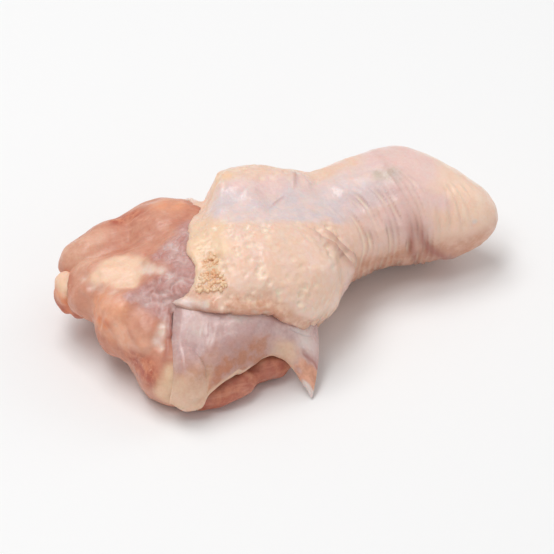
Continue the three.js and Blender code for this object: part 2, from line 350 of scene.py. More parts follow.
RED_SPOTS = (
    (-36.8, -25.6, 10.2, 3.2),
    (-39.0, -21.5, 10.4, 2.6),
    (-35.4, -28.6, 8.4, 2.0),
    (-32.4, 12.6, 22.0, 2.4),
    (-28.6, 12.4, 23.2, 2.0),
)
TAN_SPOTS = (
    (-42.6, 2.6, 19.2, 2.8),
    (-43.6, -1.2, 17.8, 2.2),
    (-40.0, 3.4, 21.0, 2.4),
    (-44.2, 8.3, 19.0, 4.0),
    (-40.9, 8.6, 20.7, 3.4),
    (-37.6, 9.0, 21.4, 1.9),
)
OLIVE_SPOTS = (
    (-33.2, -30.8, 9.4, 2.3),
    (-34.4, -30.2, 7.0, 2.2),
    (-32.6, -29.6, 12.2, 1.8),
    (-33.6, -31.6, 4.6, 2.0),
)
# Valleys between the muscles' lobes, at the front and then the back, each with its width and depth: cut into
# the relief and painted with red-brown shade.
LOBE_VALLEYS = (
    (((-43.0, -10.5, 15.4), (-42.0, -14.7, 15.7), (-41.4, -17.0, 13.8)), 0.8, 0.4),
    (((-38.4, -16.4, 17.4), (-38.2, -19.4, 16.0), (-36.8, -23.0, 13.6)), 0.7, 0.35),
    (((-40.2, -20.4, 9.6), (-38.6, -22.6, 8.2), (-36.8, -26.4, 7.2)), 0.8, 0.4),
    (((-36.0, 5.2, 21.4), (-30.0, 3.6, 22.6), (-26.0, 3.2, 23.4)), 0.8, 0.35),
    (((-42.5, 13.4, 13.5), (-35.3, 16.0, 11.0), (-29.0, 18.0, 9.6), (-20.0, 19.6, 10.4)), 1.1, 0.8),
    (((-40.0, 8.6, 7.8), (-34.4, 9.5, 6.6), (-29.0, 12.2, 5.4), (-20.0, 15.0, 5.6)), 1.0, 0.7),
    (((-36.4, 15.2, 17.6), (-29.0, 17.6, 17.4), (-20.0, 19.2, 17.8)), 0.8, 0.5),
)
# A furrow by the web's left edge, cut into the muscle and painted with shade.
FURROW = (
    (-29.0, -17.0, 19.5),
    (-29.6, -18.9, 18.2),
    (-30.6, -22.1, 16.4),
    (-31.9, -25.5, 14.7),
    (-33.6, -28.3, 12.8),
)
RIM_FAT_SPOTS = (
    (-19.8, -16.4, 26.1, 1.9),
    (-20.8, -13.8, 26.3, 1.5),
    (-19.0, -12.6, 26.9, 1.5),
    (-20.6, -18.6, 24.9, 1.3),
)
YELLOW_SPOTS = (
    (-17.5, -7.7, 28.1, 3.2),
    (-15.0, -5.0, 28.8, 2.6),
    (-18.6, -3.0, 28.2, 1.5),
    (-14.8, -12.0, 28.0, 2.6),
    (-13.5, 9.5, 29.2, 3.0),
    (-11.0, 12.5, 29.0, 2.6),
    (-8.0, 10.5, 30.0, 2.2),
)
WHITE_SPOTS = (
    (-25.4, -19.4, 21.5, 1.8),
    (-22.9, -21.8, 21.8, 1.6),
    (-27.6, -17.4, 20.2, 1.6),
    (-17.1, 1.6, 28.4, 1.6),
    (-14.5, 5.5, 29.0, 2.0),
    (7.8, 10.0, 28.2, 1.4),
    # A painted highlight on the elbow's tip.
    (45.4, -3.8, 16.1, 0.6),
)
PINK_SPOTS = (
    (9.5, 7.0, 28.0, 3.6),
    (-1.5, 4.0, 29.6, 3.4),
    (2.4, 6.2, 29.5, 2.6),
    (-6.5, 6.0, 30.0, 2.4),
    (30.0, 10.5, 27.8, 4.2),
    (36.0, 7.5, 27.0, 3.6),
    # These two are painted highlights on the elbow.
    (38.5, -1.7, 21.2, 2.2),
    (35.6, -1.2, 22.5, 1.6),
    (14.0, -15.0, 15.0, 2.8),
    (27.1, -2.8, 20.8, 2.6),
    (1.4, 6.5, 29.7, 2.0),
    (11.5, -13.0, 11.0, 2.6),
)
GREY_SPOTS = ((28.6, 4.4, 27.1, 2.4), (25.6, 5.4, 27.0, 1.6))
DENT_SPOTS = (
    (-5.2, 3.5, 30.0, 1.8),
    (-4.0, -1.2, 29.6, 1.4),
    (-9.5, 7.5, 29.8, 1.3),
    (-2.0, 9.0, 30.0, 1.4),
)
# The same on the bone's end.
BONE_WHITE_SPOTS = ((-46.2, -1.6, 13.6, 1.1), (-46.4, -1.8, 11.6, 0.7))
BONE_TAN_SPOTS = ((-47.5, 6.0, 13.0, 4.0),)
# Painted highlights on the bone end's right lobe.
BONE_LIGHT_SPOTS = ((-44.0, -1.5, 14.6, 2.0), (-44.7, -2.5, 11.5, 1.5))
BONE_BRIGHT_SPOTS = ((-48.6, -1.0, 12.4, 1.6), (-47.6, -1.0, 9.5, 1.4))
BONE_OLIVE_SPOTS = ((-49.3, 1.5, 16.2, 1.6), (-47.6, 2.5, 17.2, 1.2))
# A cleft between the bone end's lobes, painted with shade.
BONE_CLEFT = ((-46.9, 0.4, 15.0), (-46.6, -1.2, 12.5), (-46.2, -1.6, 9.0))
# The same on the flap laid out flat, in millimetres across, down and 0.
FLAP_FLAT = (40, 20)
# The three spots along the web's top, 3 mm down or less, are painted highlights; the others are pale
# blotches.
FLAP_PALE_SPOTS = ((15, 2.5, 0, 3.0), (20, 2.0, 0, 3.0), (36, 8, 0, 4.0), (5, 5, 0, 2.0), (33, 3, 0, 3.0))
# A painted patch of light on the web's right side, which faces away from the lamps.
FLAP_WHITE_SPOTS = ((34.5, 8.5, 0, 3.5),)

# The stage, in metres, degrees and watts.
CAMERA_AZIMUTH = -17.0  # from the front towards the cut end
CAMERA_ELEVATION = 38.0
CAMERA_DISTANCE = 0.9
CAMERA_AIM = Vector((0.00157, 0.00353, 0.00491))
VIEW_WIDTH = 0.1237  # across the picture at the aim
SENSOR_WIDTH = 36.0  # of the camera, in its own millimetres
FLOOR_REACH = 3.0
FLOOR_GREY = 0.93
SKY_STRENGTH = 0.45
# Square lights that face the drumette: name, place, side and power.
LIGHTS = (
    ("overhead", (-0.15, 0.25, 0.9), 0.5, 3.6),
    ("key", (-0.3, -0.2, 0.8), 0.32, 1.4),
    ("front fill", (0.3, -0.9, 0.45), 0.6, 0.5),
    ("side", (0.85, 0.15, 0.55), 0.5, 0.9),
)

# ---- Numbers that repeat ---------------------------------------------------------------------


def smooth_step(x, low, high):
    """0 below low, 1 above high, and an S-shaped curve between."""
    t = np.clip((x - low) / (high - low), 0, 1)
    return t * t * (3 - 2 * t)


def fade_out(x, low, high):
    """1 below low and 0 above high: one minus the smooth step."""
    return 1 - smooth_step(x, low, high)


def window(x, start, full, fade, end):
    """0 before start, 1 from full to fade, and 0 after end: a step up times a step down."""
    return smooth_step(x, start, full) * fade_out(x, fade, end)


def bell(x, middle, width):
    """1 at middle, falling to nothing a few widths away, as a Gaussian does."""
    return np.exp(-(((x - middle) / width) ** 2))


def lattice_value(cell, seed):
    """A repeatable number from -1 to 1 for each lattice point, mixed from its three whole numbers."""
    mixed = cell[..., 0] * 73856093 ^ cell[..., 1] * 19349663 ^ cell[..., 2] * 83492791 ^ seed * 40503
    mixed = ((mixed ^ (mixed >> 13)) * 1274126177) & 0xFFFFFFFF
    mixed = ((mixed ^ (mixed >> 15)) * 668265263) & 0xFFFFFFFF
    return (mixed ^ (mixed >> 16)) / 0x7FFFFFFF - 1


def noise(points, size, seed):
    """Smooth noise from -1 to 1: a value at each corner of a cubic lattice of that size, blended by a
    quintic curve inside each cube. size may be one number or one for each direction."""
    scaled = points / np.asarray(size, float)
    cell = np.floor(scaled).astype(np.int64)
    t = scaled - cell
    t = t**3 * (t * (t * 6 - 15) + 10)
    total = np.zeros(points.shape[:-1])
    for corner in np.ndindex(2, 2, 2):
        weight = np.prod(np.where(corner, t, 1 - t), axis=-1)
        total += lattice_value(cell + corner, seed) * weight
    return total


def noises(points, stack):
    """The sum of several layers of noise, each given by its height, size and seed."""
    return sum(height * noise(points, size, seed) for height, size, seed in stack)


def beads(points, size, seed):
    """1 at jittered lattice points, falling to 0 half a cell away: one minus the squared distance to
    the nearest of the points in the 27 cells round about."""
    scaled = points / size
    cell = np.floor(scaled).astype(np.int64)
    nearest = np.full(points.shape[:-1], 9.0)
    for step in np.ndindex(3, 3, 3):
        near = cell + step - 1
        jitter = np.stack([lattice_value(near, seed + k) for k in range(3)], -1)
        gap = scaled - near - 0.5 - 0.36 * jitter
        nearest = np.minimum(nearest, (gap**2).sum(-1))
    return np.clip(1 - nearest / 0.25, 0, 1)


def curve_points(corners, count):
    """A Catmull-Rom curve through the corners, at evenly spaced values of its parameter."""
    p = np.asarray(corners, float)
    p = np.vstack([2 * p[0] - p[1], p, 2 * p[-1] - p[-2]])
    t = np.linspace(0, len(corners) - 1, count)
    k = np.minimum(t.astype(int), len(corners) - 2)
    f = (t - k)[:, None]
    a, b, c, d = p[k], p[k + 1], p[k + 2], p[k + 3]
    return 0.5 * (2 * b + (c - a) * f + (2 * a - 5 * b + 4 * c - d) * f**2 + (3 * b - a - 3 * c + d) * f**3)


def along_path(points, corners):
    """Distance of each point from a smooth path through the corners, and how far along it lies, 0 to 1."""
    path = curve_points(corners, 25)
    nearest = np.full(points.shape[:-1], 1e9)
    share = np.zeros(points.shape[:-1])
    for k, (a, b) in enumerate(zip(path[:-1], path[1:])):
        t = np.clip(((points - a) @ (b - a)) / ((b - a) @ (b - a)), 0, 1)
        gap = ((points - a - t[..., None] * (b - a)) ** 2).sum(-1)
        share = np.where(gap < nearest, (k + t) / (len(path) - 1), share)
        nearest = np.minimum(nearest, gap)
    return np.sqrt(nearest), share


def spots(points, places):
    """Several soft round spots that run together: 1 at a spot's middle and Gaussian with its size."""
    missed = np.ones(points.shape[:-1])
    for *middle, size in places:
        missed *= 1 - 0.98 * np.exp(-((points - middle) ** 2).sum(-1) / size**2)
    return 1 - missed


def ridges(points, size, seed, sharpness=3.0):
    """Sharp branching ridges: one minus the size of smooth noise, raised to a power."""
    return (1 - np.abs(noise(points, size, seed))) ** sharpness


def crowded(count, middle=0.16, crowding=0.4):
    """Shares of the way round from the underside, closer together about the middle that is seen most."""
    u = np.linspace(-0.25, 0.75, count, endpoint=False)
    wave = np.sin(2 * np.pi * (u - middle)) - np.sin(2 * np.pi * (-0.25 - middle))
    return u - crowding / (2 * np.pi) * wave


def groove(points, corners, width):
    """A valley along a path: 1 on the path, Gaussian across it, and fading at both ends."""
    gap, share = along_path(points, corners)
    return bell(gap, 0, width) * np.sin(np.pi * np.clip(share, 0.02, 0.98)) ** 0.6


def grooves(points, table):
    """Several valleys, each given by its path, width and depth: their depths summed, and the strongest
    of them at each point."""
    valleys = [groove(points, path, width) for path, width, _ in table]
    return sum(depth * valley for valley, (_, _, depth) in zip(valleys, table)), np.max(valleys, axis=0)


# ---- Rays from the middle line ---------------------------------------------------------------


def middle_line(share):
    """The middle line: a quadratic curve from the shoulder hub to the elbow hub."""
    t = np.asarray(share)[..., None]
    pull = np.array([(SHOULDER_HUB[0] + ELBOW_HUB[0]) / 2, *MIDDLE_PULL])
    return (1 - t) ** 2 * SHOULDER_HUB + 2 * t * (1 - t) * pull + t * t * ELBOW_HUB


def rays(along, around):
    """Start and direction of each ray. Between the hubs a ray leaves the middle line square to X, at
    an angle of around turns from the front over the top. Beyond a hub the rays fan round the end."""
    inside = np.clip(along, 0, LINE_LENGTH)
    beyond = along - inside
    tilt = beyond / np.where(beyond < 0, SHOULDER_ARC, ELBOW_ARC)
    angle = 2 * np.pi * around
    way = np.stack([np.sin(tilt), -np.cos(tilt) * np.cos(angle), np.cos(tilt) * np.sin(angle)], -1)
    return middle_line(inside / LINE_LENGTH), way


def turned(points, degrees):
    """Points turned about Z."""
    a = np.radians(degrees)
    return points @ np.array([[np.cos(a), -np.sin(a), 0], [np.sin(a), np.cos(a), 0], [0, 0, 1]])


def lobe_reach(lobe, start, way):
    """Distance along a ray to the far side of an ellipsoid. A ray that misses it runs only part of
    the way to where it passes closest, so the shape has a soft skirt and no cliff."""
    middle, half, turn = lobe
    o = turned(start - np.array(middle, float), turn) / np.array(half, float)
    d = turned(way, turn) / np.array(half, float)
    dd = (d * d).sum(-1)
    nearest = -(o * d).sum(-1) / dd
    depth = nearest**2 - ((o * o).sum(-1) - 1) / dd
    hit = 1 / (1 + np.exp(-np.clip(depth / SKIRT, -60, 60)))
    soft_depth = np.maximum(depth, 0) + GRAZE * np.log1p(np.exp(-np.abs(depth) / GRAZE))
    return nearest * hit + np.sqrt(soft_depth)


def reach_of(lobes, start, way, blend):
    """The largest reach of several lobes, rounded off where two are nearly equal: the logarithm of
    the sum of exponentials."""
    reaches = np.stack([lobe_reach(lobe, start, way) for lobe in lobes.values()])
    top = reaches.max(0)
    return top + blend * np.log(np.exp((reaches - top) / blend).sum(0))


def reach_under(points, lobes, blend):
    """How far each point lies from the middle line, the reach of the lobes on the ray through it, and
    that ray's start and direction."""
    share = np.clip((points[..., 0] - SHOULDER_HUB[0]) / LINE_LENGTH, 0, 1)
    start = middle_line(share)
    offset = points - start
    away = np.linalg.norm(offset, axis=-1)
    way = offset / away[..., None]
    return away, reach_of(lobes, start, way, blend), start, way


def ball_of_lobes(rows, columns, hub, lobes, blend):
    """Points of a ball of lobes whose rays all start at one hub, with poles along X."""
    tilt = np.linspace(-np.pi / 2, np.pi / 2, rows)[:, None]
    angle = 2 * np.pi * np.linspace(-0.25, 0.75, columns, endpoint=False)[None, :]
    way = [np.sin(tilt) + 0 * angle, -np.cos(tilt) * np.cos(angle), np.cos(tilt) * np.sin(angle)]
    way = np.stack(way, -1)
    return hub + way * reach_of(lobes, hub, way, blend)[..., None]


def flap_middle(wide, deep):
    """The flap's middle sheet: straight lines from root to hem that billow outwards and are draped
    over the muscles. Gives points, across from the shoulder side, and down from root to hem."""
    across = np.linspace(0, 1, wide)[:, None]
    down = np.linspace(0, 1, deep)[None, :]
    root = curve_points(FLAP_ROOT, wide)[:, None, :]
    hem = curve_points(FLAP_HEM, wide)[:, None, :]
    middle = root + (hem - root) * down[..., None]
    arc = np.sin(np.pi * down)
    billow = FLAP_BILLOW * arc * (0.75 + 0.25 * np.sin(np.pi * across))
    middle = middle + FLAP_OUT * billow[..., None]
    middle[..., 0] += SPIKE_SWELL * arc * smooth_step(across, 0.8, 1.0)
    middle[..., 0] -= CORNER_SWELL * arc * fade_out(across, 0.0, 0.2)
    from_left = smooth_step(across, 0.0, 0.05)
    lift_left = FLAP_LEFT_LIFT * arc * fade_out(across, 0.0, 0.3) * from_left
    away, reach, start, way = reach_under(middle, {**MUSCLES, **UNDER_LOBES}, MEAT_BLEND)
    along = middle[..., 0] - SHOULDER_HUB[0]
    around = np.arctan2(way[..., 2], -way[..., 1]) / (2 * np.pi)
    skin = reach_of({**MUSCLES, **SKIN_BULGES}, start, way, SKIN_BLEND) - tuck(along, around)
    reach = np.where(along > rim_along(around), np.maximum(reach, skin), reach)
    gap = away - reach - FLAP_LIFT * (0.4 + 0.6 * from_left)
    lift = 0.5 * (np.sqrt(gap**2 + 0.5) - gap) * smooth_step(down, 0.05, 0.3)
    return middle + way * lift[..., None] + FLAP_OUT * lift_left[..., None], across, down


def on_floor(points, softness=FLOOR_SOFTNESS):
    """Presses what hangs below the floor flat onto it, with a rounded edge."""
    z = points[..., 2]
    points[..., 2] = 0.5 * (z + np.sqrt(z**2 + softness**2)) - 0.12 * softness
    points[..., 2] = np.maximum(points[..., 2], 0)
    return points


def seam_past(along, around):
    """How far round below the front seam a place lies, as a share of the way round."""
    from_front = (around + 0.5) % 1 - 0.5
    seam = SEAM_START - SEAM_FALL * along - SEAM_DIVE * np.maximum(along - SEAM_BEND, 0)
    return seam - from_front


def tuck(along, around):
    """How far the sleeve is drawn in under its front fold: a steep rise below the seam that fades
    towards the underside and towards the elbow."""
    below = window(seam_past(along, around), 0, TUCK_RISE, TUCK_RISE, TUCK_RISE + TUCK_FADE)
    return TUCK_DEPTH * below * fade_out(along, SEAM_BEND, SEAM_END)


def rim_along(around):
    """Where the sleeve's rim lies round the body, in millimetres past the shoulder hub."""
    share = (around + 0.25) % 1 - 0.25
    return np.interp(share, *np.transpose(RIM_PLACES))


# ---- Meshes ----------------------------------------------------------------------------------


def grid_normals(points):
    """Outward normals of a grid that closes round its columns: the cross product of the step between
    columns and the step between rows."""
    step_round = np.roll(points, -1, 1) - np.roll(points, 1, 1)
    step_down = np.gradient(points, axis=0)
    normal = np.cross(step_round, step_down)
    length = np.linalg.norm(normal, axis=-1, keepdims=True)
    return normal / np.maximum(length, 1e-9)


def ball_faces(rows, columns):
    """Corner numbers of a grid closed round its columns, whose first and last rows are one point
    each. Points are numbered pole, inner rows, pole."""
    i = np.arange(rows - 3)[:, None]
    j = np.arange(columns)[None, :]
    a = 1 + i * columns + j
    b = 1 + i * columns + (j + 1) % columns
    quads = np.stack([a, b, b + columns, a + columns], -1).reshape(-1, 4)
    ring = np.arange(columns)
    after = (ring + 1) % columns
    last = 1 + (rows - 2) * columns
    top = np.stack([np.zeros_like(ring), 1 + after, 1 + ring], -1)
    bottom = np.stack([np.full_like(ring, last), last - columns + ring, last - columns + after], -1)
    return quads, np.vstack([top, bottom])


def new_piece(name, points, quads, triangles, marks, material):
    """Puts points in millimetres, faces and point attributes into a new object at the origin."""
    mesh = bpy.data.meshes.new(name)
    mesh.vertices.add(len(points))
    mesh.vertices.foreach_set("co", (points * MM).astype(np.float32).ravel())
    corners = np.concatenate([quads.ravel(), triangles.ravel()]).astype(np.int32)
    totals = np.concatenate([np.full(len(quads), 4), np.full(len(triangles), 3)]).astype(np.int32)
    mesh.loops.add(len(corners))
    mesh.loops.foreach_set("vertex_index", corners)
    mesh.polygons.add(len(totals))
    mesh.polygons.foreach_set("loop_start", (np.cumsum(totals) - totals).astype(np.int32))
    mesh.polygons.foreach_set("loop_total", totals)
    mesh.polygons.foreach_set("use_smooth", np.ones(len(totals), bool))
    mesh.update(calc_edges=True)
    if mesh.validate():
        raise RuntimeError(f"{name} has faces that don't close")
    for mark, values in marks.items():
        attribute = mesh.attributes.new(mark, "FLOAT", "POINT")
        attribute.data.foreach_set("value", np.asarray(values, np.float32).ravel())
    mesh.materials.append(material)
    piece = bpy.data.objects.new(name, mesh)
    bpy.context.scene.collection.objects.link(piece)
    return piece


def ball_piece(name, points, marks, material):
    """A closed piece from a grid of rows and columns whose first and last rows are poles."""
    rows, columns = points.shape[:2]
    quads, triangles = ball_faces(rows, columns)

    def flat(values):
        return np.concatenate([values[0, :1], values[1:-1].reshape(-1, *values.shape[2:]), values[-1, :1]])

    return new_piece(name, flat(points), quads, triangles, {k: flat(v) for k, v in marks.items()}, material)


def finish(piece):
    """Rides a piece on the one body, and hides the imported part that it stands for."""
    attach(piece, BODY)
    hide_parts(NODE)


# ---- Materials -------------------------------------------------------------------------------


class Web:
    """Short calls that add nodes to one node tree and wire them."""

    def __init__(self, tree):
        self.tree = tree

    def node(self, kind, settings=None, **inputs):
        """Adds a node with its settings and its inputs, whose names have _ for a space."""
        made = self.tree.nodes.new(kind)
        for key, value in (settings or {}).items():
            setattr(made, key, value)
        for key, value in inputs.items():
            self.feed(made.inputs[key.replace("_", " ")], value)
        return made

    def feed(self, socket, value):
        """Wires an output to a socket, or sets the socket to a plain value."""
        if isinstance(value, bpy.types.NodeSocket):
            self.tree.links.new(value, socket)
        else:
            socket.default_value = value

    def mark(self, name):
        """A point attribute of the mesh."""
        return self.node("ShaderNodeAttribute", {"attribute_name": name}).outputs["Fac"]

    def sum(self, operation, a, b=0.0):
        """One step of arithmetic."""
        made = self.node("ShaderNodeMath", {"operation": operation})
        self.feed(made.inputs[0], a)
        self.feed(made.inputs[1], b)
        return made.outputs[0]

    def noise(self, vector, scale, detail=3.0, roughness=0.55):
        """Smooth noise from 0 to 1."""
        made = self.node(
            "ShaderNodeTexNoise", Vector=vector, Scale=scale, Detail=detail, Roughness=roughness
        )
        return made.outputs["Fac"]

    def span(self, value, low, high, to_low=0.0, to_high=1.0):
        """An S-shaped rise from to_low to to_high while the value runs from low to high."""
        made = self.node("ShaderNodeMapRange", {"interpolation_type": "SMOOTHSTEP"})
        titles = ("Value", "From Min", "From Max", "To Min", "To Max")
        for title, x in zip(titles, (value, low, high, to_low, to_high)):
            self.feed(made.inputs[title], x)
        return made.outputs["Result"]

    def mix(self, share, a, b, blend="MIX"):
        """Colour a with a share of colour b over it."""
        made = self.node("ShaderNodeMix", {"data_type": "RGBA", "blend_type": blend})
        self.feed(made.inputs["Factor"], share)
        self.feed(made.inputs[6], a)
        self.feed(made.inputs[7], b)
        return made.outputs[2]


PATCH_SIZE = 330.0  # noise scale of the patches in every layer of colour


def linear(colour):
    """A colour of 0 to 1 as a screen shows it, turned into the light it stands for."""
    c = np.array(colour[:3], float)
    light = np.where(c <= 0.04045, c / 12.92, ((c + 0.055) / 1.055) ** 2.4)
    return (*[float(v) for v in light], 1.0)


def new_group(name, inputs, outputs):
    """An empty node group with named sockets, and its web, input node and output node."""
    group = bpy.data.node_groups.new(name, "ShaderNodeTree")
    for title, kind, default in inputs:
        socket = group.interface.new_socket(name=title, in_out="INPUT", socket_type=kind)
        if default is not None:
            socket.default_value = default
    for title, kind in outputs:
        group.interface.new_socket(name=title, in_out="OUTPUT", socket_type=kind)
    web = Web(group)
    return group, web, web.node("NodeGroupInput"), web.node("NodeGroupOutput")


def mottle_group():
    """Uneven colour: patches of a second colour, and fine light and dark grain over both."""
    group, web, given, result = new_group(
        "Mottled flesh",
        [
            ("Vector", "NodeSocketVector", None),
            ("Colour", "NodeSocketColor", (1, 1, 1, 1)),
            ("Patch", "NodeSocketColor", (1, 1, 1, 1)),
            ("Size", "NodeSocketFloat", 300.0),
            ("Amount", "NodeSocketFloat", 0.5),
        ],
        [("Colour", "NodeSocketColor")],
    )
    vector = given.outputs["Vector"]
    size = given.outputs["Size"]
    broad = web.span(web.noise(vector, size, 4.0, 0.6), 0.42, 0.66)
    fine = web.noise(vector, web.sum("MULTIPLY", size, 5.0), 3.0, 0.6)
    patched = web.mix(
        web.sum("MULTIPLY", broad, given.outputs["Amount"]), given.outputs["Colour"], given.outputs["Patch"]
    )
    grey = web.span(fine, 0.3, 0.7, 0.42, 0.58)
    grain = web.node("ShaderNodeCombineColor", Red=grey, Green=grey, Blue=grey).outputs["Color"]
    web.feed(result.inputs["Colour"], web.mix(0.4, patched, grain, "OVERLAY"))
    return group


def wet_group():
    """Wet tissue: the height of its fine grain, and a roughness that changes from film to film."""
    group, web, given, result = new_group(
        "Wet grain",
        [
            ("Vector", "NodeSocketVector", None),
            ("Size", "NodeSocketFloat", 1500.0),
            ("Smooth", "NodeSocketFloat", 0.25),
            ("Rough", "NodeSocketFloat", 0.5),
        ],
        [("Height", "NodeSocketFloat"), ("Roughness", "NodeSocketFloat"), ("Coat", "NodeSocketFloat")],
    )
    vector = given.outputs["Vector"]
    size = given.outputs["Size"]
    fine = web.noise(vector, size, 3.0, 0.6)
    broad = web.noise(vector, web.sum("MULTIPLY", size, 0.25), 2.0, 0.5)
    web.feed(result.inputs["Height"], web.sum("ADD", fine, broad))
    film = web.span(web.noise(vector, web.sum("MULTIPLY", size, 0.12), 3.0, 0.5), 0.35, 0.65)
    low, high = given.outputs["Smooth"], given.outputs["Rough"]
    above = web.sum("MULTIPLY", film, web.sum("SUBTRACT", high, low))
    web.feed(result.inputs["Roughness"], web.sum("ADD", low, above))
    web.feed(result.inputs["Coat"], web.span(film, 0.0, 1.0, 1.0, 0.3))
    return group


def group_of(name, maker):
    """A node group that is built once."""
    return bpy.data.node_groups.get(name) or maker()


def flesh(name, paint, grain_size, smooth, rough, bump=0.00012, depth=0.0015, weight=0.35, coat=0.5):
    """A wet flesh material, built once. paint(web, vector) gives its colour, and the height of its
    fibres or nothing; the wet grain gives its relief and gloss; light soaks in by depth metres."""
    if name in bpy.data.materials:
        return bpy.data.materials[name]
    material = bpy.data.materials.new(name)
    material.use_nodes = True
    web = Web(material.node_tree)
    shader = material.node_tree.nodes["Principled BSDF"]
    vector = web.node("ShaderNodeTexCoord").outputs["Object"]
    wet = web.node(
        "ShaderNodeGroup",
        {"node_tree": group_of("Wet grain", wet_group)},
        Vector=vector,
        Size=grain_size,
        Smooth=smooth,
        Rough=rough,
    )
    colour, fibre = paint(web, vector)
    web.feed(shader.inputs["Base Color"], colour)
    web.feed(shader.inputs["Roughness"], wet.outputs["Roughness"])
    web.feed(shader.inputs["Coat Weight"], web.sum("MULTIPLY", wet.outputs["Coat"], coat))
    height = wet.outputs["Height"]
    if fibre:
        height = web.sum("ADD", height, web.sum("MULTIPLY", fibre, 2.0))
    relief = web.node("ShaderNodeBump", Height=height, Strength=0.6, Distance=bump)
    web.feed(shader.inputs["Normal"], relief.outputs["Normal"])
    web.feed(shader.inputs["Coat Normal"], relief.outputs["Normal"])
    shader.inputs["Subsurface Weight"].default_value = weight
    shader.inputs["Subsurface Radius"].default_value = (1.0, 0.42, 0.28)
    shader.inputs["Subsurface Scale"].default_value = depth
    shader.inputs["Coat Roughness"].default_value = 0.28
    shader.inputs["Specular IOR Level"].default_value = 0.5
    shader.inputs["IOR"].default_value = 1.42
    return material


def mottled(web, vector, colour, patch, size, amount):
    """A colour from the mottle group, with its second colour in patches. Both are as a screen shows them."""
    made = web.node(
        "ShaderNodeGroup",
        {"node_tree": group_of("Mottled flesh", mottle_group)},
        Vector=vector,
        Colour=linear(colour),
        Patch=linear(patch),
        Size=size,
        Amount=amount,
    )
    return made.outputs["Colour"]


def layers(web, vector, base, wander_size, stack):
    """Lays colours over a base, one after another, each where its mark is strong, with edges that
    wander. An entry is a mark, a colour, a second colour for patches, the layer's strength, and how
    gradual its edge is, from 0 to 0.5."""
    wander = web.sum("MULTIPLY", web.sum("SUBTRACT", web.noise(vector, wander_size, 5.0, 0.6), 0.5), 0.55)
    colour = base
    for mark, main, patch, strength, soft in stack:
        share = web.span(web.sum("ADD", web.mark(mark), wander), 0.5 - soft, 0.5 + soft, 0.0, strength)
        colour = web.mix(share, colour, mottled(web, vector, main, patch, PATCH_SIZE, 0.6))
    return colour


def creased(web, colour, c):
    """A colour with painted shade over it: a red-brown darkening where the crease mark is strong."""
    return web.mix(web.mark("crease_shade"), colour, linear(c.crease_shade))


def skin_material(c):
    """Skin: cream with goosebumps, bluish where it is thin, pink and peach over the elbow and tan under the
    fold, with painted red-brown shade in creases and on undersides and painted highlights on bumps and rings."""

    def paint(web, vector):
        stack = (
            ("tan", c.tan, c.peach, 0.95, 0.5),
            ("peach", c.peach, c.cream, 0.95, 0.5),
            ("blue", c.bluish, c.pale_pink, 0.95, 0.45),
            ("pink", c.pink, c.pale_pink, 0.85, 0.45),
            ("yellow", c.fat_yellow, c.cream, 0.9, 0.45),
            ("white", c.white, c.bluish, 0.8, 0.5),
            ("grey", c.grey_tint, c.bluish, 0.75, 0.5),
            ("orange", c.fat_orange, c.fat_yellow, 0.95, 0.35),
        )
        base = mottled(web, vector, c.cream, c.pale_pink, 260.0, 0.4)
        colour = layers(web, vector, base, 300.0, stack)
        colour = web.mix(web.sum("MULTIPLY", web.mark("bead"), 0.75), colour, linear(c.bead))
        return creased(web, colour, c), None

    return flesh("Chicken skin", paint, 1500.0, 0.28, 0.48, coat=0.7)


def meat_material(c):
    """Bare muscle: pink, orange and red, with pale fibres along it, a cream tendon pad and purple
    tissue with pale strands."""

    def paint(web, vector):
        muscle = (
            ("tan", c.meat_tan, c.meat_pink, 0.9, 0.5),
            ("orange", c.meat_orange, c.meat_pink, 0.95, 0.5),
            # light: pale film over the front lobe, with a painted patch of light on it and painted highlights
            # on the bone's end.
            ("light", c.meat_light, c.meat_orange, 0.75, 0.5),
            ("red", c.meat_red, c.meat_orange, 0.9, 0.5),
            ("bright", c.bright_orange, c.meat_orange, 0.8, 0.4),
        )
        base = mottled(web, vector, c.meat_pink, c.meat_red, 150.0, 0.35)
        colour = layers(web, vector, base, 320.0, muscle)
        bent = web.node("ShaderNodeMapping", Vector=vector, Rotation=(0.0, 0.12, 0.16), Scale=(1.0, 9.0, 9.0))
        fibre = web.noise(bent.outputs["Vector"], 90.0, 4.0, 0.6)
        sheath = web.sum("ADD", 0.22, web.sum("MULTIPLY", web.mark("fibre"), 0.5))
        colour = web.mix(web.sum("MULTIPLY", web.span(fibre, 0.5, 0.72), sheath), colour, linear(c.fibre))
        covering = (
            ("tissue", c.membrane, c.membrane_grey, 0.92, 0.45),
            ("strand", c.membrane_pale, c.white, 0.7, 0.4),
            ("cream", c.fat_cream, c.cream, 0.97, 0.42),
            ("white", c.tendon, c.pale_pink, 0.9, 0.45),
            ("olive", c.olive_fat, c.fat_cream, 0.9, 0.45),
        )
        colour = layers(web, vector, colour, 380.0, covering)
        film = web.span(web.noise(vector, 520.0, 5.0, 0.65), 0.5, 0.75, 0.0, 0.5)
        colour = web.mix(web.sum("MULTIPLY", film, web.mark("tissue")), colour, linear(c.membrane_pale))
        return creased(web, colour, c), fibre

    return flesh("Raw muscle", paint, 1300.0, 0.34, 0.58, depth=0.0016, coat=0.35)


def membrane_material(c):
    """Inner side of the skin: purplish grey film with pale blotches and a cream, fatty hem, with painted
    highlights, a patch of painted light and painted shade at its root.
    """

    def paint(web, vector):
        stack = (
            ("tan", c.film_tan, c.membrane_grey, 0.9, 0.5),
            # pale: pale blotches and painted highlights along the web's top.
            ("pale", c.membrane_pale, c.white, 0.85, 0.5),
            ("cream", c.hem, c.cream, 0.95, 0.45),
            ("orange", c.spike, c.film_tan, 0.85, 0.5),
            ("tip", c.white, c.pink, 0.8, 0.5),
        )
        base = mottled(web, vector, c.membrane_grey, c.membrane_pale, 260.0, 0.6)
        return creased(web, layers(web, vector, base, 300.0, stack), c), None

    return flesh("Skin lining", paint, 1500.0, 0.22, 0.42, coat=0.6)


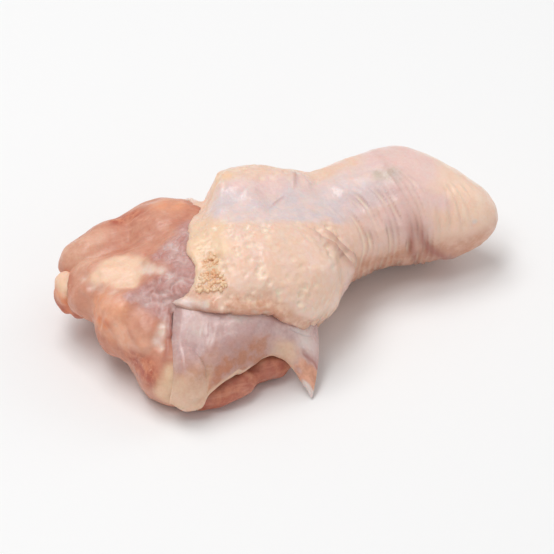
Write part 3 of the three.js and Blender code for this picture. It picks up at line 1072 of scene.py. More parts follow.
def fat_material(c):
    """Soft fat: cream, yellow and orange grains with painted highlights on their tops. Little light soaks
    into such small grains."""

    def paint(web, vector):
        pale = mottled(web, vector, c.grain_fat, c.cream, 400.0, 0.6)
        colour = web.mix(web.sum("MULTIPLY", web.mark("yellow"), 0.6), pale, linear(c.fat_yellow))
        orange = mottled(web, vector, c.fat_orange, c.fat_yellow, 500.0, 0.7)
        colour = web.mix(web.mark("orange"), colour, orange)
        # A painted highlight on each grain's top.
        return web.mix(web.sum("MULTIPLY", web.mark("grain"), 0.2), colour, linear(c.bead)), None

    return flesh("Soft fat", paint, 1800.0, 0.3, 0.45, depth=0.0004, weight=0.1, coat=0.4)


# ---- Settings --------------------------------------------------------------------------------


def colour_setting(name, description, red, green, blue):
    """A colour as a screen shows it, given in the usual 0 to 255."""
    return FloatVectorProperty(
        name=name,
        description=description,
        subtype="COLOR_GAMMA",
        size=3,
        min=0,
        max=1,
        default=(red / 255, green / 255, blue / 255),
    )


def length_setting(name, description, millimetres):
    """A length given in millimetres and kept in metres."""
    return FloatProperty(name=name, description=description, default=millimetres * MM, unit="LENGTH")


class DrumetteSizes(bpy.types.PropertyGroup):
    """Sizes of the fine shape."""

    skin_thickness: length_setting("Skin thickness", "Thickness of the sleeve's rolled rim", 1.7)
    bead_spacing: length_setting("Goosebump spacing", "Distance between goosebumps", 2.3)
    bead_height: length_setting("Goosebump height", "Height of a goosebump", 0.55)
    ring_spacing: length_setting("Ring spacing", "Distance between the neck's ring wrinkles", 1.4)
    ring_depth: length_setting("Ring depth", "Depth of the neck's ring wrinkles", 0.6)
    knob_crease: length_setting("Elbow crease", "Depth of the crease between neck and elbow", 0.9)
    flap_thickness: length_setting("Flap thickness", "Thickness of the web of skin", 1.3)
    hem_thickness: length_setting("Hem thickness", "Thickness of the web's fatty hem", 2.2)
    fibre_relief: length_setting("Fibre relief", "Height of the muscle fibres", 0.16)


class DrumetteColours(bpy.types.PropertyGroup):
    """Colours of the finishes."""

    cream: colour_setting("Cream skin", "Fatty skin with goosebumps", 241, 203, 179)
    pale_pink: colour_setting("Pale pink skin", "Patches in the skin", 242, 212, 204)
    bluish: colour_setting("Bluish skin", "Thin skin over dark tissue", 222, 206, 207)
    # Pink also paints two highlights on the elbow.
    pink: colour_setting("Pink skin", "Skin over the elbow", 237, 202, 196)
    # Tan also paints shade on the undersides of neck and elbow and in the troughs of the elbow's rings.
    tan: colour_setting("Tan skin", "Skin low on the front fold", 217, 162, 132)
    peach: colour_setting("Peach skin", "Skin at the elbow's tip", 251, 216, 193)
    # White also paints a highlight on the elbow's tip and a patch of light on the web's right side.
    white: colour_setting("White skin", "Palest patches", 232, 220, 212)
    grey_tint: colour_setting("Grey tint", "Greenish grey patch on the elbow", 196, 182, 162)
    # Goosebump tips, partly their own pale colour and partly painted highlight; it also paints highlights on
    # ring crests and grain tops.
    bead: colour_setting("Goosebump tips", "The pale tip of each goosebump", 253, 232, 208)
    # Painted shade: the red-brown darkening laid into creases, gaps, valleys and undersides.
    crease_shade: colour_setting("Creases", "Deep creases and gaps", 166, 100, 88)
    meat_pink: colour_setting("Pink muscle", "Bare muscle at the top", 213, 151, 126)
    meat_tan: colour_setting("Tan muscle", "Dull end of the upper slab", 228, 178, 152)
    meat_orange: colour_setting("Orange muscle", "Bare muscle at the front", 235, 164, 126)
    # Light muscle also paints a patch of light on the front lobe and highlights on the bone's end.
    meat_light: colour_setting("Light muscle", "Pale film over the front lobe", 246, 192, 164)
    bright_orange: colour_setting("Bright orange", "Small spots in the front lobe", 230, 132, 82)
    meat_red: colour_setting("Red muscle", "Bare muscle low down", 176, 80, 57)
    fibre: colour_setting("Fibres", "Pale sheaths between fibres", 228, 170, 146)
    membrane: colour_setting("Tissue", "Purple connective tissue", 193, 143, 137)
    # Pale film also paints highlights along the web's top.
    membrane_pale: colour_setting("Pale film", "Pale parts of film and tissue", 226, 198, 192)
    membrane_grey: colour_setting("Grey film", "Inner side of the skin", 200, 164, 160)
    film_tan: colour_setting("Tan film", "Lower part of the web", 192, 126, 94)
    spike: colour_setting("Orange film", "Orange corner of the web", 232, 174, 142)
    hem: colour_setting("Hem", "Fatty hem of the web", 230, 192, 164)
    tendon: colour_setting("Tendon", "Pale end of the tendon and nodules beside it", 240, 214, 196)
    fat_cream: colour_setting("Cream fat", "Tendon pad and soft fat", 246, 206, 176)
    grain_fat: colour_setting("Grain fat", "Grains of fat at the sleeve's rim", 244, 206, 166)
    olive_fat: colour_setting("Dull fat", "Fat beside the web's corner", 236, 200, 166)
    fat_yellow: colour_setting("Yellow fat", "Fat near the sleeve's rim", 244, 208, 172)
    fat_orange: colour_setting("Orange fat", "Orange grains at the sleeve's rim", 235, 170, 122)


# ---- Pieces ----------------------------------------------------------------------------------


# Rows and columns of each surface.
LINING_ROWS, RIM_ROWS, OUTSIDE_ROWS, SKIN_COLUMNS = 8, 14, 268, 332
MEAT_GRID = (292, 336)
UNDER_GRID = (130, 190)
BONE_GRID = (110, 150)
ROW_CROWDING = 1.15  # the meat's rows are closer at the shoulder end, where the muscles are small
GRAIN_GRID = (10, 14)
FLAP_GRID = (230, 150)
POLE_FADE = 1.5  # relief fades out over this many millimetres before a pole


def sleeve_reach(along, around, past_rim, start, way):
    """Reach of the sleeve's outside: near the rim it clears the muscles by a little, and further on
    it follows its own bulges, drawn in under the front fold."""
    bulged = reach_of({**MUSCLES, **SKIN_BULGES}, start, way, SKIN_BLEND) - tuck(along, around)
    lift = RIM_LIFT + (LOW_LIFT - RIM_LIFT) * bell(around, LOW_LIFT_ROUND, LOW_LIFT_WIDTH)
    hugged = np.minimum(bulged, reach_of({**MUSCLES, **RIM_LUMPS}, start, way, MEAT_BLEND) + lift)
    return bulged + (hugged - bulged) * fade_out(past_rim, 0, RIM_HUG)


def skin_grid(thickness):
    """The sleeve in three stretches: a lining that closes on the middle line, a half round rim, and
    the outside from the rim to the elbow. Gives points, along, share of the way round from the front,
    distance past the rim, and 1 on the outside."""
    around = crowded(SKIN_COLUMNS)[None, :]
    edge = [np.cos(2 * np.pi * around), np.sin(2 * np.pi * around), 0 * around]
    edge = RIM_RADIUS * np.stack(edge, -1)
    rim = rim_along(around) + noises(edge, RIM_WAVES)
    thick = thickness * (1 + 0.35 * noise(edge, 5.0, 4))

    inward = np.linspace(1, 0, LINING_ROWS + 1)[:-1, None]
    roll = np.linspace(np.pi, 0, RIM_ROWS + 1)[:-1, None]
    out = np.linspace(0, 1, OUTSIDE_ROWS)[:, None]
    none = 0 * rim
    along = [rim + LINING_DEPTH * inward, rim - thick / 2 * np.sin(roll), rim + (LAST_ROW - rim) * out]
    along = np.vstack(along)
    around = np.broadcast_to(around, along.shape)
    start, way = rays(along, around)
    past_rim = along - rim
    past_lining = np.arange(len(along))[:, None] >= LINING_ROWS
    reach = sleeve_reach(along, around, past_rim * past_lining, start, way)
    sunk = np.vstack([thick + 0 * inward, thick / 2 * (1 - np.cos(roll)), 0 * out + none])
    shrink = np.vstack([1 - inward**3 + none, 1 + 0 * roll + none, 1 + 0 * out + none])
    points = start + way * ((reach - sunk) * shrink)[..., None]
    points[0] = points[0].mean(0)
    outside = np.vstack([0 * inward + none, smooth_step(np.pi - roll, 1, 3) + none, 1 + 0 * out + none])
    return points, along, (around + 0.25) % 1 - 0.25, past_rim, outside


class Sleeve:
    """Where the sleeve's points lie: millimetres past the shoulder hub and past the rim, shares of the
    way round from the front and below the front seam, and what the neck's rings follow."""

    def __init__(self, points, along, front, past_rim):
        self.points = points
        self.along = along
        self.front = front
        self.past_rim = past_rim
        self.past_seam = seam_past(along, front)
        self.wobble = noises(points, RING_WOBBLE)
        self.bowed = along + RING_CURVE * np.clip(front - 0.035, 0, 0.25) ** 2


def blue_band(s):
    """The bluish band over the top: a window from its wandering lower border round to the back."""
    place = s.front + noises(s.points, BAND_WANDER)
    border = np.interp(s.along, *np.transpose(BAND_BORDER))
    return window(place, border - 0.02, border + 0.03, *BAND_BACK)


def goosebumps(s, band, sizes):
    """Large and small beads on the body with sharp ridges between them, fainter in the bluish band.
    Gives their height and their mark."""
    uneven = np.clip(0.8 + 0.7 * noise(s.points, 5.0, 14), 0.2, 1.3)
    goose = fade_out(s.along, *BODY_END) * (1 - 0.9 * band) * smooth_step(s.past_rim, 1, 5) * uneven
    bead = beads(s.points, sizes.bead_spacing / MM, 15)
    wrinkle = ridges(s.points, (2.6, 3.4, 1.3), 26, 4.0)
    height = goose * (sizes.bead_height / MM * bead**1.5 + 0.12 * beads(s.points, 1.5, 19))
    height += 0.2 * goose * wrinkle * smooth_step(noise(s.points, 7.0, 23), -0.1, 0.5)
    # The mark paints the beads' tips and the ridges pale: partly the follicles' own colour, partly painted
    # highlight.
    return height, goose * (bead**2 + 0.4 * wrinkle**2)


def fat_by_rim(s):
    """Lumps and beads of fat along the top of the rim. Gives their height, how near the rim a point is,
    how much orange fat it holds, and the beads."""
    near_rim = fade_out(s.past_rim, 2.5, 6) * window(s.front, 0.07, 0.1, 0.36, 0.42)
    rim_fat = np.clip(1.3 * spots(s.points, RIM_FAT_SPOTS), 0, 1)
    grains = beads(s.points, 1.35, 61)
    height = smooth_step(s.past_rim, 0.2, 1.6) * (0.25 * near_rim + 0.2 * rim_fat) * (grains - 0.2)
    return height + 0.3 * near_rim * noise(s.points, 2.6, 62), near_rim, rim_fat, grains


def neck_rings(s, sizes):
    """Ring wrinkles round the neck: rounded hills, each as strong as its own noise says, and nearly
    none over the top. Gives their height, where they are, the hills, and how strong each is."""
    phase = (s.bowed + s.wobble) * MM / sizes.ring_spacing
    ring_place = np.stack([7.3 * np.floor(phase), 15 * s.front, 0 * phase], -1)
    strength = np.clip(0.6 + 0.8 * noise(ring_place, 1.0, 18), 0, 1.3)
    hill = np.abs(np.sin(np.pi * phase))
    on_neck = window(s.bowed, *NECK) * (1 - 0.92 * window(s.front, 0.19, 0.26, 0.5, 0.6))
    return sizes.ring_depth / MM * (strength * hill**0.6 - 0.5) * on_neck, on_neck, hill, strength


def knob_rings(s):
    """Height of faint rings over the front of the elbow: a sine wave that wanders and breaks off."""
    on_knob = window(s.along, *KNOB) * window(s.front, -0.12, -0.04, 0.15, 0.22)
    wave = np.sin(2 * np.pi * (s.bowed + 2 * s.wobble) / KNOB_RING_SPACING)
    return 0.3 * wave * on_knob * smooth_step(noise(s.points, 6.0, 30), -0.2, 0.5)


def skin_creases(s, sizes):
    """Two creases between neck and elbow with a wide valley, folds between body and neck, and a nick
    and a scratch on top, all Gaussian across. Gives their depth and their painted shade, a red-brown
    darkening."""
    place, by_elbow, by_neck = np.transpose(ELBOW_CREASES)
    past_elbow_crease = s.along - np.interp(s.front, place, by_elbow)
    past_neck_crease = s.along - np.interp(s.front, place, by_neck)
    shift = 0.5 * noise(s.points, 4.5, 21)
    low_share = smooth_step(s.front, -0.24, -0.1) * (1 - 0.92 * smooth_step(s.front, 0.02, 0.15))
    valley = bell(past_elbow_crease, -1.8, 3.0) * low_share
    elbow_crease = bell(past_elbow_crease - shift, 0, 1.2) * low_share
    neck_crease = bell(past_neck_crease - shift, 0, 0.7) * (0.15 + 0.85 * low_share)
    fold_depth, fold = grooves(s.points, NECK_FOLDS)
    nick = groove(s.points, TOP_NICK, 0.4)
    scratch = groove(s.points, TOP_SCRATCH, 0.3)
    depth = sizes.knob_crease / MM * (0.7 * valley + 0.6 * elbow_crease + 0.5 * neck_crease)
    depth = depth * smooth_step(s.front, -0.16, -0.05) + fold_depth + 0.8 * nick + 0.25 * scratch
    # red is painted shade: it darkens the creases, the folds, the nick and the scratch.
    red = 0.28 * valley + 0.5 * elbow_crease + 0.4 * neck_crease + 0.5 * fold + 0.8 * nick + 0.45 * scratch
    return depth, red


def skin_relief(s, sizes):
    """Height to add to the skin, and its marks: the sum of lumps, goosebumps, fat, rings, streaks and
    the fold's lip, less the creases, each faded in where the real skin has it."""
    band = blue_band(s)
    goose_height, goose = goosebumps(s, band, sizes)
    fat_height, near_rim, rim_fat, grains = fat_by_rim(s)
    ring_height, on_neck, hill, strength = neck_rings(s, sizes)
    knob_height = knob_rings(s)
    crease_depth, red = skin_creases(s, sizes)
    lumps = noises(s.points, SKIN_LUMPS) - 0.55 * spots(s.points, DENT_SPOTS)
    streak = noise(s.points + 0.8 * noise(s.points, 6.0, 31)[..., None], (11.0, 1.6, 1.6), 22)
    streaks = 0.12 * streak * band * smooth_step(s.past_rim, 3, 8) * fade_out(s.along, 60, 68)
    lip = 0.6 * bell(s.past_seam, -0.014, 0.014) * fade_out(s.along, 34, 44)
    height = lumps * (1 - 0.5 * smooth_step(s.along, 46, 52)) + goose_height + fat_height
    height = height + ring_height + knob_height + streaks + lip - crease_depth

    below_fold = smooth_step(s.past_seam, -0.038, -0.01) * fade_out(s.along, *FOLD_END)
    # Painted shade on the underside of the neck and elbow: darker and tan there, with less pink and peach.
    underside_shade = fade_out(s.points[..., 2], 10.6, 17.4) * fade_out(s.points[..., 1], 8, 16)
    underside_shade = underside_shade * smooth_step(s.along, 40, 50)
    knob_pink = smooth_step(s.bowed + 3 * s.wobble, 57, 68) * fade_out(s.along + 3 * s.wobble, 66, 80)
    knob_pink = 0.8 * knob_pink * smooth_step(s.front, 0.12, 0.22)
    # Painted shade in the valleys between the neck's rings, and a painted shadow under the front fold's seam.
    red += 0.28 * on_neck * (1 - hill) ** 2 * strength
    red += 0.5 * window(s.past_seam, -0.012, 0.012, 0.03, 0.08) * fade_out(s.along, 38, 46)
    blue = band * smooth_step(s.past_rim, 2, 7) * fade_out(s.along, *BAND_END) * (0.85 + 0.3 * streak)
    rim_yellow = 0.8 * near_rim * (1 - 0.7 * smooth_step(s.front, 0.2, 0.3))
    marks = {
        "blue": blue,
        # pink: pink patches and two painted highlights on the elbow, with less pink where the underside is
        # shaded.
        "pink": spots(s.points, PINK_SPOTS) + knob_pink + 0.55 * on_neck * (1 - underside_shade),
        "peach": smooth_step(s.along + 2 * s.wobble, 64, 77) * (1 - 0.8 * underside_shade),
        # tan: the tan low on the front fold, with painted shade on the undersides and in the troughs of the
        # elbow's rings.
        "tan": 0.95 * below_fold + underside_shade + 1.6 * np.clip(-knob_height, 0, 1),
        "yellow": rim_yellow + spots(s.points, YELLOW_SPOTS),
        "orange": rim_fat * (0.6 + 0.4 * grains),
        "white": spots(s.points, WHITE_SPOTS),
        "grey": spots(s.points, GREY_SPOTS),
        # Pale goosebump tips, partly their own colour and partly painted highlight, and painted highlights on
        # fat grains and ring crests.
        "bead": goose + 0.5 * rim_fat * grains + 0.6 * on_neck * (hill * strength) ** 4,
        # Painted shade: creases, ring valleys, the seam's shadow, the gaps between fat grains and the
        # undersides.
        "crease_shade": np.clip(red + 0.15 * rim_fat * (1 - grains) ** 4 + 0.22 * underside_shade, 0, SKIN_SHADE_LIMIT),
    }
    for mark in ("pink", "tan", "yellow", "orange", "bead"):
        marks[mark] = np.clip(marks[mark], 0, 1)
    return height, marks


def build_skin(sizes, colours):
    """The sleeve with its relief, which fades out towards the elbow's pole."""
    points, along, front, past_rim, outside = skin_grid(sizes.skin_thickness / MM)
    height, marks = skin_relief(Sleeve(points, along, front, past_rim), sizes)
    fade = outside * fade_out(along, LAST_ROW - POLE_FADE, LAST_ROW)
    points = points + grid_normals(points) * (height * fade)[..., None]
    points[-1] = points[-2].mean(0)
    piece = ball_piece("skin", on_floor(points), marks, skin_material(colours))
    finish(piece)


def meat_relief(points, past_rim, sizes):
    """Height to add to bare muscle, and its marks. Fibres are noise drawn out along the slab; tissue
    has branching ridges drawn out slantwise; pad, fat and lobes are soft spots."""
    bent = turned(points, SLAB_TURN) + 1.2 * noise(points, 9.0, 31)[..., None]
    fibre = noise(bent, (13.0, 1.3, 1.3), 32)
    pad = spots(points, PAD_SPOTS)
    wide_pad = spots(points, [(*middle, PAD_SPREAD * size) for *middle, size in PAD_SPOTS])
    tendon = spots(points, TENDON_SPOTS)
    pale = spots(points, PALE_SPOTS)
    fat = spots(points, FAT_SPOTS)
    on_top = smooth_step(points[..., 2], 15, 19) * fade_out(points[..., 1], 1, 6)
    by_rim = smooth_step(past_rim, -6, -1) * on_top
    tissue = np.clip(spots(points, MEMBRANE_SPOTS) + 0.9 * by_rim, 0, 1) * (1 - 0.8 * pad)
    slanted = turned(points, STRAND_TURN) + 0.7 * noise(points, 2.0, 40)[..., None]
    strand = ridges(slanted, (5.0, 1.9, 2.4), 36, 2.2)
    fine_strand = ridges(points, (1.5, 1.2, 1.2), 37, 3.0)
    furrow = groove(points, FURROW, 0.8)
    valley_depth, valley = grooves(points, LOBE_VALLEYS)
    height = noises(points, MEAT_LUMPS) + sizes.fibre_relief / MM * fibre * (1 - 0.8 * pad) * (1 - tissue)
    height += tissue * (0.5 * strand + 0.25 * fine_strand - 0.35) + 0.5 * pad + 0.5 * tendon + 0.7 * fat
    height += (0.5 + 0.3 * noise(points, 1.6, 41)) * pale + 0.2 * noise(points, 1.3, 42) * fat
    height -= 0.8 * furrow + valley_depth
    # Painted shade: gaps between strands, the furrow, the lobes' valleys, the muscle under the sleeve's rim
    # and the tendon's shadows.
    crease_shade = 0.9 * tissue * np.clip(0.3 - strand, 0, 1) + 0.85 * furrow + 0.35 * valley
    crease_shade += 0.3 * smooth_step(past_rim, -0.5, 1) + 0.35 * spots(points, TENDON_SHADOW_SPOTS)
    pale_strand = 0.45 * strand + 0.3 * fine_strand + 0.35 * noise(points, 3.0, 43)
    marks = {
        "orange": spots(points, ORANGE_SPOTS),
        "light": spots(points, LIGHT_SPOTS),
        "bright": spots(points, BRIGHT_ORANGE_SPOTS),
        "red": spots(points, RED_SPOTS),
        "tan": spots(points, TAN_SPOTS),
        "fibre": np.clip(0.5 + 0.7 * fibre, 0, 1) * (1 - tissue),
        "tissue": tissue,
        "strand": np.clip(pale_strand, 0, 1) * tissue,
        "cream": 0.95 * wide_pad,
        "white": np.clip(0.9 * tendon + 0.55 * pale + 0.95 * fat, 0, 1),
        "olive": spots(points, OLIVE_SPOTS),
        "crease_shade": np.clip(crease_shade, 0, MEAT_SHADE_LIMIT),
    }
    return height, marks


def build_meat(sizes, colours):
    """The bare muscles: rays' reach to the muscle lobes, let in under the sleeve's rim and closed
    inside the sleeve."""
    rows, columns = MEAT_GRID
    share = np.linspace(0, 1, rows)[:, None] ** ROW_CROWDING
    along = FIRST_ROW + (MEAT_END - FIRST_ROW) * share
    along, around = np.broadcast_arrays(along, crowded(columns)[None, :])
    start, way = rays(along, around)
    past_rim = along - rim_along(around)
    reach = reach_of({**MUSCLES, **RIM_LUMPS}, start, way, MEAT_BLEND)
    reach = (reach - MEAT_SINK * smooth_step(past_rim, 0, 3)) * fade_out(along, 30, MEAT_END)
    points = start + way * reach[..., None]
    height, marks = meat_relief(points, past_rim, sizes)
    fade = smooth_step(along, FIRST_ROW, FIRST_ROW + POLE_FADE) * fade_out(past_rim, 0, 4)
    points = points + grid_normals(points) * (height * fade)[..., None]
    points[0] = points[1].mean(0)
    points[-1] = points[-1].mean(0)
    piece = ball_piece("meat", on_floor(points), marks, meat_material(colours))
    finish(piece)


def build_ball(name, points, height, marks_of, colours):
    """A ball of lobes with its relief and closed poles, in muscle's finish. marks_of gives the marks
    of its points, and those it leaves out are 0."""
    points = points + grid_normals(points) * height[..., None]
    given = marks_of(points)
    marks = {mark: given.get(mark, 0) + np.zeros(points.shape[:-1]) for mark in MEAT_MARKS}
    points[0], points[-1] = points[1].mean(0), points[-2].mean(0)
    piece = ball_piece(name, on_floor(points), marks, meat_material(colours))
    finish(piece)


def build_under_muscle(sizes, colours):
    """The muscle that shows under the flap's arch: a ball of lobes with fibres, red, with painted shade where
    the flap hangs over it.
    """
    points = ball_of_lobes(*UNDER_GRID, UNDER_HUB, UNDER_LOBES, UNDER_BLEND)
    fibre = noise(points, (7.0, 1.2, 1.2), 51)

    def marks_of(points):
        # Painted shade under the flap: a little over all of it, and more further in and higher up.
        shade = smooth_step(points[..., 1], -30, -20) * smooth_step(points[..., 2], 2, 7)
        return {"red": 0.66, "fibre": np.clip(0.5 + 0.5 * fibre, 0, 1), "crease_shade": 0.12 + 0.35 * shade}

    height = noises(points, UNDER_LUMPS) + sizes.fibre_relief / MM * fibre
    build_ball("under_muscle", points, height, marks_of, colours)


def build_bone_end(colours):
    """The bone's end in two lobes, red below with a cream cap of cartilage."""

    def marks_of(points):
        return {
            "cream": smooth_step(points[..., 2] + noise(points, 2.4, 59), 11.5, 17.0),
            "red": fade_out(points[..., 2], 9.0, 14.0),
            "orange": 0.9,
            "white": spots(points, BONE_WHITE_SPOTS),
            "tan": spots(points, BONE_TAN_SPOTS),
            "light": spots(points, BONE_LIGHT_SPOTS),
            # light paints highlights on the right lobe.
            "bright": spots(points, BONE_BRIGHT_SPOTS),
            "olive": spots(points, BONE_OLIVE_SPOTS),
            # Painted shade in the cleft.
            "crease_shade": 0.6 * groove(points, BONE_CLEFT, 0.5),
        }

    points = ball_of_lobes(*BONE_GRID, BONE_HUB, BONE_LOBES, BONE_BLEND)
    build_ball("bone_end", points, noises(points, BONE_LUMPS), marks_of, colours)


def build_fat_grains(colours):
    """Grains of fat along the sleeve's rim: small stretched balls at seeded places, with their middles
    just under the skin's surface."""
    draw = np.random.default_rng(11)
    rows, columns = GRAIN_GRID
    tilt = np.linspace(-np.pi / 2, np.pi / 2, rows)[:, None]
    turn = 2 * np.pi * np.arange(columns)[None, :] / columns
    ball = np.stack([np.cos(tilt) * np.cos(turn), np.cos(tilt) * np.sin(turn), np.sin(tilt) + 0 * turn], -1)
    quads, triangles = ball_faces(rows, columns)
    ball = np.concatenate([ball[0, :1], ball[1:-1].reshape(-1, 3), ball[-1, :1]])
    middles, radii = [], []
    for count, first, last, low, high, radius in FAT_GRAINS:
        along = draw.uniform(first, last, count)
        around = draw.uniform(low, high, count)
        keep = along > rim_along(around) + GRAIN_PAST_RIM
        along, around = along[keep], around[keep]
        start, way = rays(along, around)
        reach = sleeve_reach(along, around, along - rim_along(around), start, way)
        radii.append(radius * draw.uniform(*GRAIN_SPREAD, len(along)))
        middles.append(start + way * (reach - GRAIN_SUNK * radii[-1])[:, None])
    middles, radii = np.concatenate(middles), np.concatenate(radii)
    stretch = draw.uniform(*GRAIN_STRETCH, (len(radii), 1, 3))
    points = middles[:, None, :] + radii[:, None, None] * ball[None] * stretch
    points += 0.15 * noise(points, 0.8, 56)[..., None]
    shift = (np.arange(len(radii)) * len(ball))[:, None, None]
    marks = {
        "yellow": np.clip(0.5 + 0.5 * noise(points, 2.0, 58), 0, 1),
        "orange": np.clip(1.3 * spots(points, RIM_FAT_SPOTS) + 0.4 * noise(points, 1.1, 57), 0, 1),
        # grain: how high a point sits on its grain, for the painted highlight on its top.
        "grain": np.clip((points - middles[:, None])[..., 2] / radii[:, None], 0, 1) ** 2,
    }
    quads = (quads + shift).reshape(-1, 4)
    triangles = (triangles + shift).reshape(-1, 3)
    piece = new_piece("fat_grains", points.reshape(-1, 3), quads, triangles, marks, fat_material(colours))
    finish(piece)


def flap_surface(sizes):
    """The web's middle sheet with folds, its outward normals, half its thickness, which closes to
    nothing at its free edges as a quarter circle does, and its places laid out flat."""
    middle, across, down = flap_middle(*FLAP_GRID)
    flat_width, flat_length = FLAP_FLAT
    sheet = [flat_width * across + 0 * down, flat_length * down + 0 * across, 0 * across * down]
    sheet = np.stack(sheet, -1)
    folds = noises(sheet, FLAP_FOLDS) * smooth_step(down, 0, 0.25)
    middle = middle + FLAP_OUT * folds[..., None]
    ripple = 0.7 * noise(sheet, (2.6, 30.0, 1.0), 44) * smooth_step(down, 0.7, 1.0)
    middle[..., 2] += ripple * fade_out(across, 0.85, 1.0)
    shoulder_share, elbow_share, hem_share = EDGE_SHARES
    to_side = np.minimum(across / shoulder_share, (1 - across) / elbow_share)
    to_edge = np.minimum(to_side, (1 - down) / hem_share)
    close = np.sqrt(1 - (1 - np.clip(to_edge, 0, 1)) ** 2)
    full = sizes.flap_thickness + (sizes.hem_thickness - sizes.flap_thickness) * smooth_step(down, 0.72, 0.92)
    half = full / MM / 2 * close * (0.9 + 0.3 * noise(sheet, 4.0, 45))
    normal = np.cross(np.gradient(middle, axis=0), np.gradient(middle, axis=1))
    normal /= np.linalg.norm(normal, axis=-1, keepdims=True)
    normal *= np.sign((normal @ FLAP_OUT).mean())
    return middle, normal, half, sheet


def two_sided_faces(wide, deep):
    """Corner numbers of a sheet with an outer and an inner side of the same grid, and the wall that
    joins their borders."""
    number = np.arange(wide * deep).reshape(wide, deep)
    a, b, c, d = number[:-1, :-1], number[1:, :-1], number[1:, 1:], number[:-1, 1:]
    face = np.stack([a, d, c, b], -1).reshape(-1, 4)
    border = np.concatenate([number[:, 0], number[-1, 1:], number[-2::-1, -1], number[0, -2:0:-1]])
    after = np.roll(border, -1)
    inner = wide * deep
    wall = np.stack([border, after, after + inner, border + inner], -1)
    return np.vstack([face, face[:, ::-1] + inner, wall])


def flap_marks(sheet):
    """The web's marks, from shares across and down: a fatty corner, hem and arch, a tan lower part and
    an orange spike with a pale tip."""
    across, down = sheet[..., 0] / FLAP_FLAT[0], sheet[..., 1] / FLAP_FLAT[1]
    wander = noises(sheet, FLAP_WANDER)
    low = down + wander
    corner = fade_out(across + wander, 0.06, 0.34) * smooth_step(low, 0.4, 0.8)
    hem = smooth_step(low, 0.9, 0.97) * smooth_step(across, 0.08, 0.2)
    arch = bell(across, 0.74, 0.12) * smooth_step(low, 0.4, 0.75)
    spike = smooth_step(across + wander, 0.82, 0.9) * smooth_step(low, 0.58, 0.72)
    tip = smooth_step(low, 0.88, 0.96) * smooth_step(across, 0.88, 0.95)
    spike_crease = bell(low, 0.6, 0.035) * smooth_step(across, 0.84, 0.88)
    return {
        "cream": np.clip(corner + hem + 0.9 * arch, 0, 1) * (1 - spike),
        "tan": smooth_step(low, 0.35, 0.72) * fade_out(across, 0.5, 0.72),
        "orange": spike * (1 - tip),
        # tip also paints a patch of light on the web's right side.
        "tip": np.clip(tip + 0.7 * spots(sheet, FLAP_WHITE_SPOTS), 0, 1),
        "pale": spots(sheet, FLAP_PALE_SPOTS),
        # Painted shadow at the root, where the web tucks under the front fold, and a darker line across the
        # spike.
        "crease_shade": 0.55 * fade_out(down, 0.02, 0.12) + 0.6 * spike_crease,
    }


def build_flap(sizes, colours):
    """The web of skin: its outer and inner side, half a thickness to each side of the middle sheet."""
    middle, normal, half, sheet = flap_surface(sizes)
    side = normal * half[..., None]
    points = np.concatenate([(middle + side).reshape(-1, 3), (middle - side).reshape(-1, 3)])
    marks = {mark: np.tile(values.ravel(), 2) for mark, values in flap_marks(sheet).items()}
    quads = two_sided_faces(*half.shape)
    no_triangles = np.empty((0, 3), int)
    material = membrane_material(colours)
    piece = new_piece("flap", on_floor(points, FLAP_SOFTNESS), quads, no_triangles, marks, material)
    finish(piece)


# ---- Operators, one for each piece and one for the stage -------------------------------------


class DRUMETTE_OT_meat(bpy.types.Operator):
    """Build the bare muscles of the cut shoulder end"""

    bl_idname = "drumette.meat"
    bl_label = "Meat"

    def execute(self, context):
        build_meat(context.scene.drumette_sizes, context.scene.drumette_colours)
        return {"FINISHED"}


class DRUMETTE_OT_under_muscle(bpy.types.Operator):
    """Build the muscle that shows under the web"""

    bl_idname = "drumette.under_muscle"
    bl_label = "Under muscle"

    def execute(self, context):
        build_under_muscle(context.scene.drumette_sizes, context.scene.drumette_colours)
        return {"FINISHED"}


class DRUMETTE_OT_bone_end(bpy.types.Operator):
    """Build the bone's end with its cap of cartilage"""

    bl_idname = "drumette.bone_end"
    bl_label = "Bone end"

    def execute(self, context):
        build_bone_end(context.scene.drumette_colours)
        return {"FINISHED"}


class DRUMETTE_OT_fat_grains(bpy.types.Operator):
    """Build the grains of fat along the sleeve's rim"""

    bl_idname = "drumette.fat_grains"
    bl_label = "Fat grains"

    def execute(self, context):
        build_fat_grains(context.scene.drumette_colours)
        return {"FINISHED"}


class DRUMETTE_OT_skin(bpy.types.Operator):
    """Build the loose sleeve of skin"""

    bl_idname = "drumette.skin"
    bl_label = "Skin"

    def execute(self, context):
        build_skin(context.scene.drumette_sizes, context.scene.drumette_colours)
        return {"FINISHED"}


class DRUMETTE_OT_flap(bpy.types.Operator):
    """Build the hanging web of skin"""

    bl_idname = "drumette.flap"
    bl_label = "Flap"

    def execute(self, context):
        build_flap(context.scene.drumette_sizes, context.scene.drumette_colours)
        return {"FINISHED"}


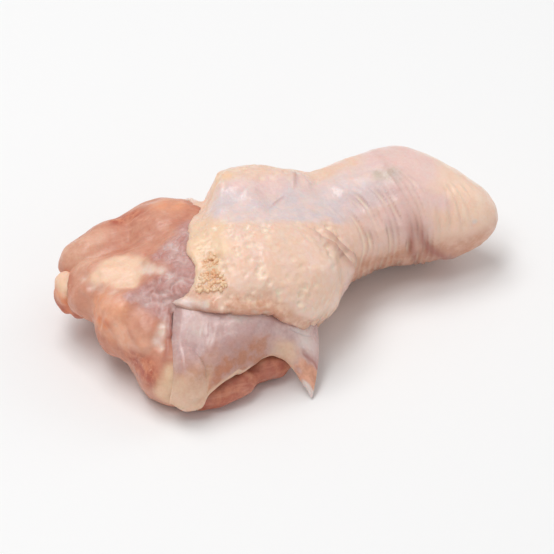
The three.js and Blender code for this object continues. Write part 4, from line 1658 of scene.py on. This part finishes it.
class DRUMETTE_OT_stage(bpy.types.Operator):
    """Set up the pale floor, the soft lights and the camera"""

    bl_idname = "drumette.stage"
    bl_label = "Stage"

    def execute(self, context):
        self.lay_floor(context.scene)
        self.light_up(context.scene)
        self.place_camera(context.scene)
        context.scene.view_settings.view_transform = "Standard"
        return {"FINISHED"}

    def lay_floor(self, scene):
        """A wide matt square under the drumette."""
        mesh = bpy.data.meshes.new("floor")
        corners = [(-FLOOR_REACH, -FLOOR_REACH, 0), (FLOOR_REACH, -FLOOR_REACH, 0)]
        corners += [(FLOOR_REACH, FLOOR_REACH, 0), (-FLOOR_REACH, FLOOR_REACH, 0)]
        mesh.from_pydata(corners, [], [(0, 1, 2, 3)])
        material = bpy.data.materials.new("Pale floor")
        material.use_nodes = True
        shader = material.node_tree.nodes["Principled BSDF"]
        shader.inputs["Base Color"].default_value = (FLOOR_GREY, FLOOR_GREY, FLOOR_GREY, 1)
        shader.inputs["Roughness"].default_value = 0.9
        mesh.materials.append(material)
        floor = bpy.data.objects.new("floor", mesh)
        scene.collection.objects.link(floor)

    def light_up(self, scene):
        """A white sky, and square area lights that face the drumette."""
        scene.world = bpy.data.worlds.new("Studio")
        scene.world.use_nodes = True
        sky = scene.world.node_tree.nodes["Background"]
        sky.inputs["Color"].default_value = (1, 1, 1, 1)
        sky.inputs["Strength"].default_value = SKY_STRENGTH
        for name, place, side, power in LIGHTS:
            data = bpy.data.lights.new(name, "AREA")
            data.size = side
            data.energy = power
            lamp = bpy.data.objects.new(name, data)
            lamp.location = place
            lamp.rotation_euler = (-Vector(place)).to_track_quat("-Z", "Y").to_euler()
            scene.collection.objects.link(lamp)

    def place_camera(self, scene):
        """A long lens that looks down on the drumette from the front, a little to the left."""
        azimuth, elevation = np.radians((CAMERA_AZIMUTH, CAMERA_ELEVATION))
        level = np.cos(elevation)
        back = Vector((np.sin(azimuth) * level, -np.cos(azimuth) * level, np.sin(elevation)))
        lens = bpy.data.cameras.new("camera")
        lens.sensor_width = SENSOR_WIDTH
        lens.lens = SENSOR_WIDTH * CAMERA_DISTANCE / VIEW_WIDTH
        lens.clip_start = 0.01
        camera = bpy.data.objects.new("camera", lens)
        camera.location = CAMERA_AIM + back * CAMERA_DISTANCE
        camera.rotation_euler = (-back).to_track_quat("-Z", "Y").to_euler()
        scene.collection.objects.link(camera)
        scene.camera = camera


class DRUMETTE_PT_panel(bpy.types.Panel):
    """Buttons for the pieces, and their sizes and colours"""

    bl_idname = "DRUMETTE_PT_panel"
    bl_label = "Raw Chicken Drumette"
    bl_space_type = "VIEW_3D"
    bl_region_type = "UI"
    bl_category = "Drumette"

    def draw(self, context):
        for operator in OPERATORS:
            self.layout.operator(operator.bl_idname)
        for settings in (context.scene.drumette_sizes, context.scene.drumette_colours):
            box = self.layout.box()
            for key in settings.__annotations__:
                box.prop(settings, key)


OPERATORS = (
    DRUMETTE_OT_meat,
    DRUMETTE_OT_under_muscle,
    DRUMETTE_OT_bone_end,
    DRUMETTE_OT_fat_grains,
    DRUMETTE_OT_skin,
    DRUMETTE_OT_flap,
    DRUMETTE_OT_stage,
)
CLASSES = (DrumetteSizes, DrumetteColours, *OPERATORS, DRUMETTE_PT_panel)


def register():
    for item in CLASSES:
        bpy.utils.register_class(item)
    bpy.types.Scene.drumette_sizes = PointerProperty(type=DrumetteSizes)
    bpy.types.Scene.drumette_colours = PointerProperty(type=DrumetteColours)


def unregister():
    del bpy.types.Scene.drumette_colours
    del bpy.types.Scene.drumette_sizes
    for item in reversed(CLASSES):
        bpy.utils.unregister_class(item)


def main():
    """Builds every piece and the stage."""
    register()
    bpy.ops.drumette.meat()
    bpy.ops.drumette.under_muscle()
    bpy.ops.drumette.bone_end()
    bpy.ops.drumette.fat_grains()
    bpy.ops.drumette.skin()
    bpy.ops.drumette.flap()
    bpy.ops.drumette.stage()
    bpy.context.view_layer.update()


if __name__ == "__main__":
    main()
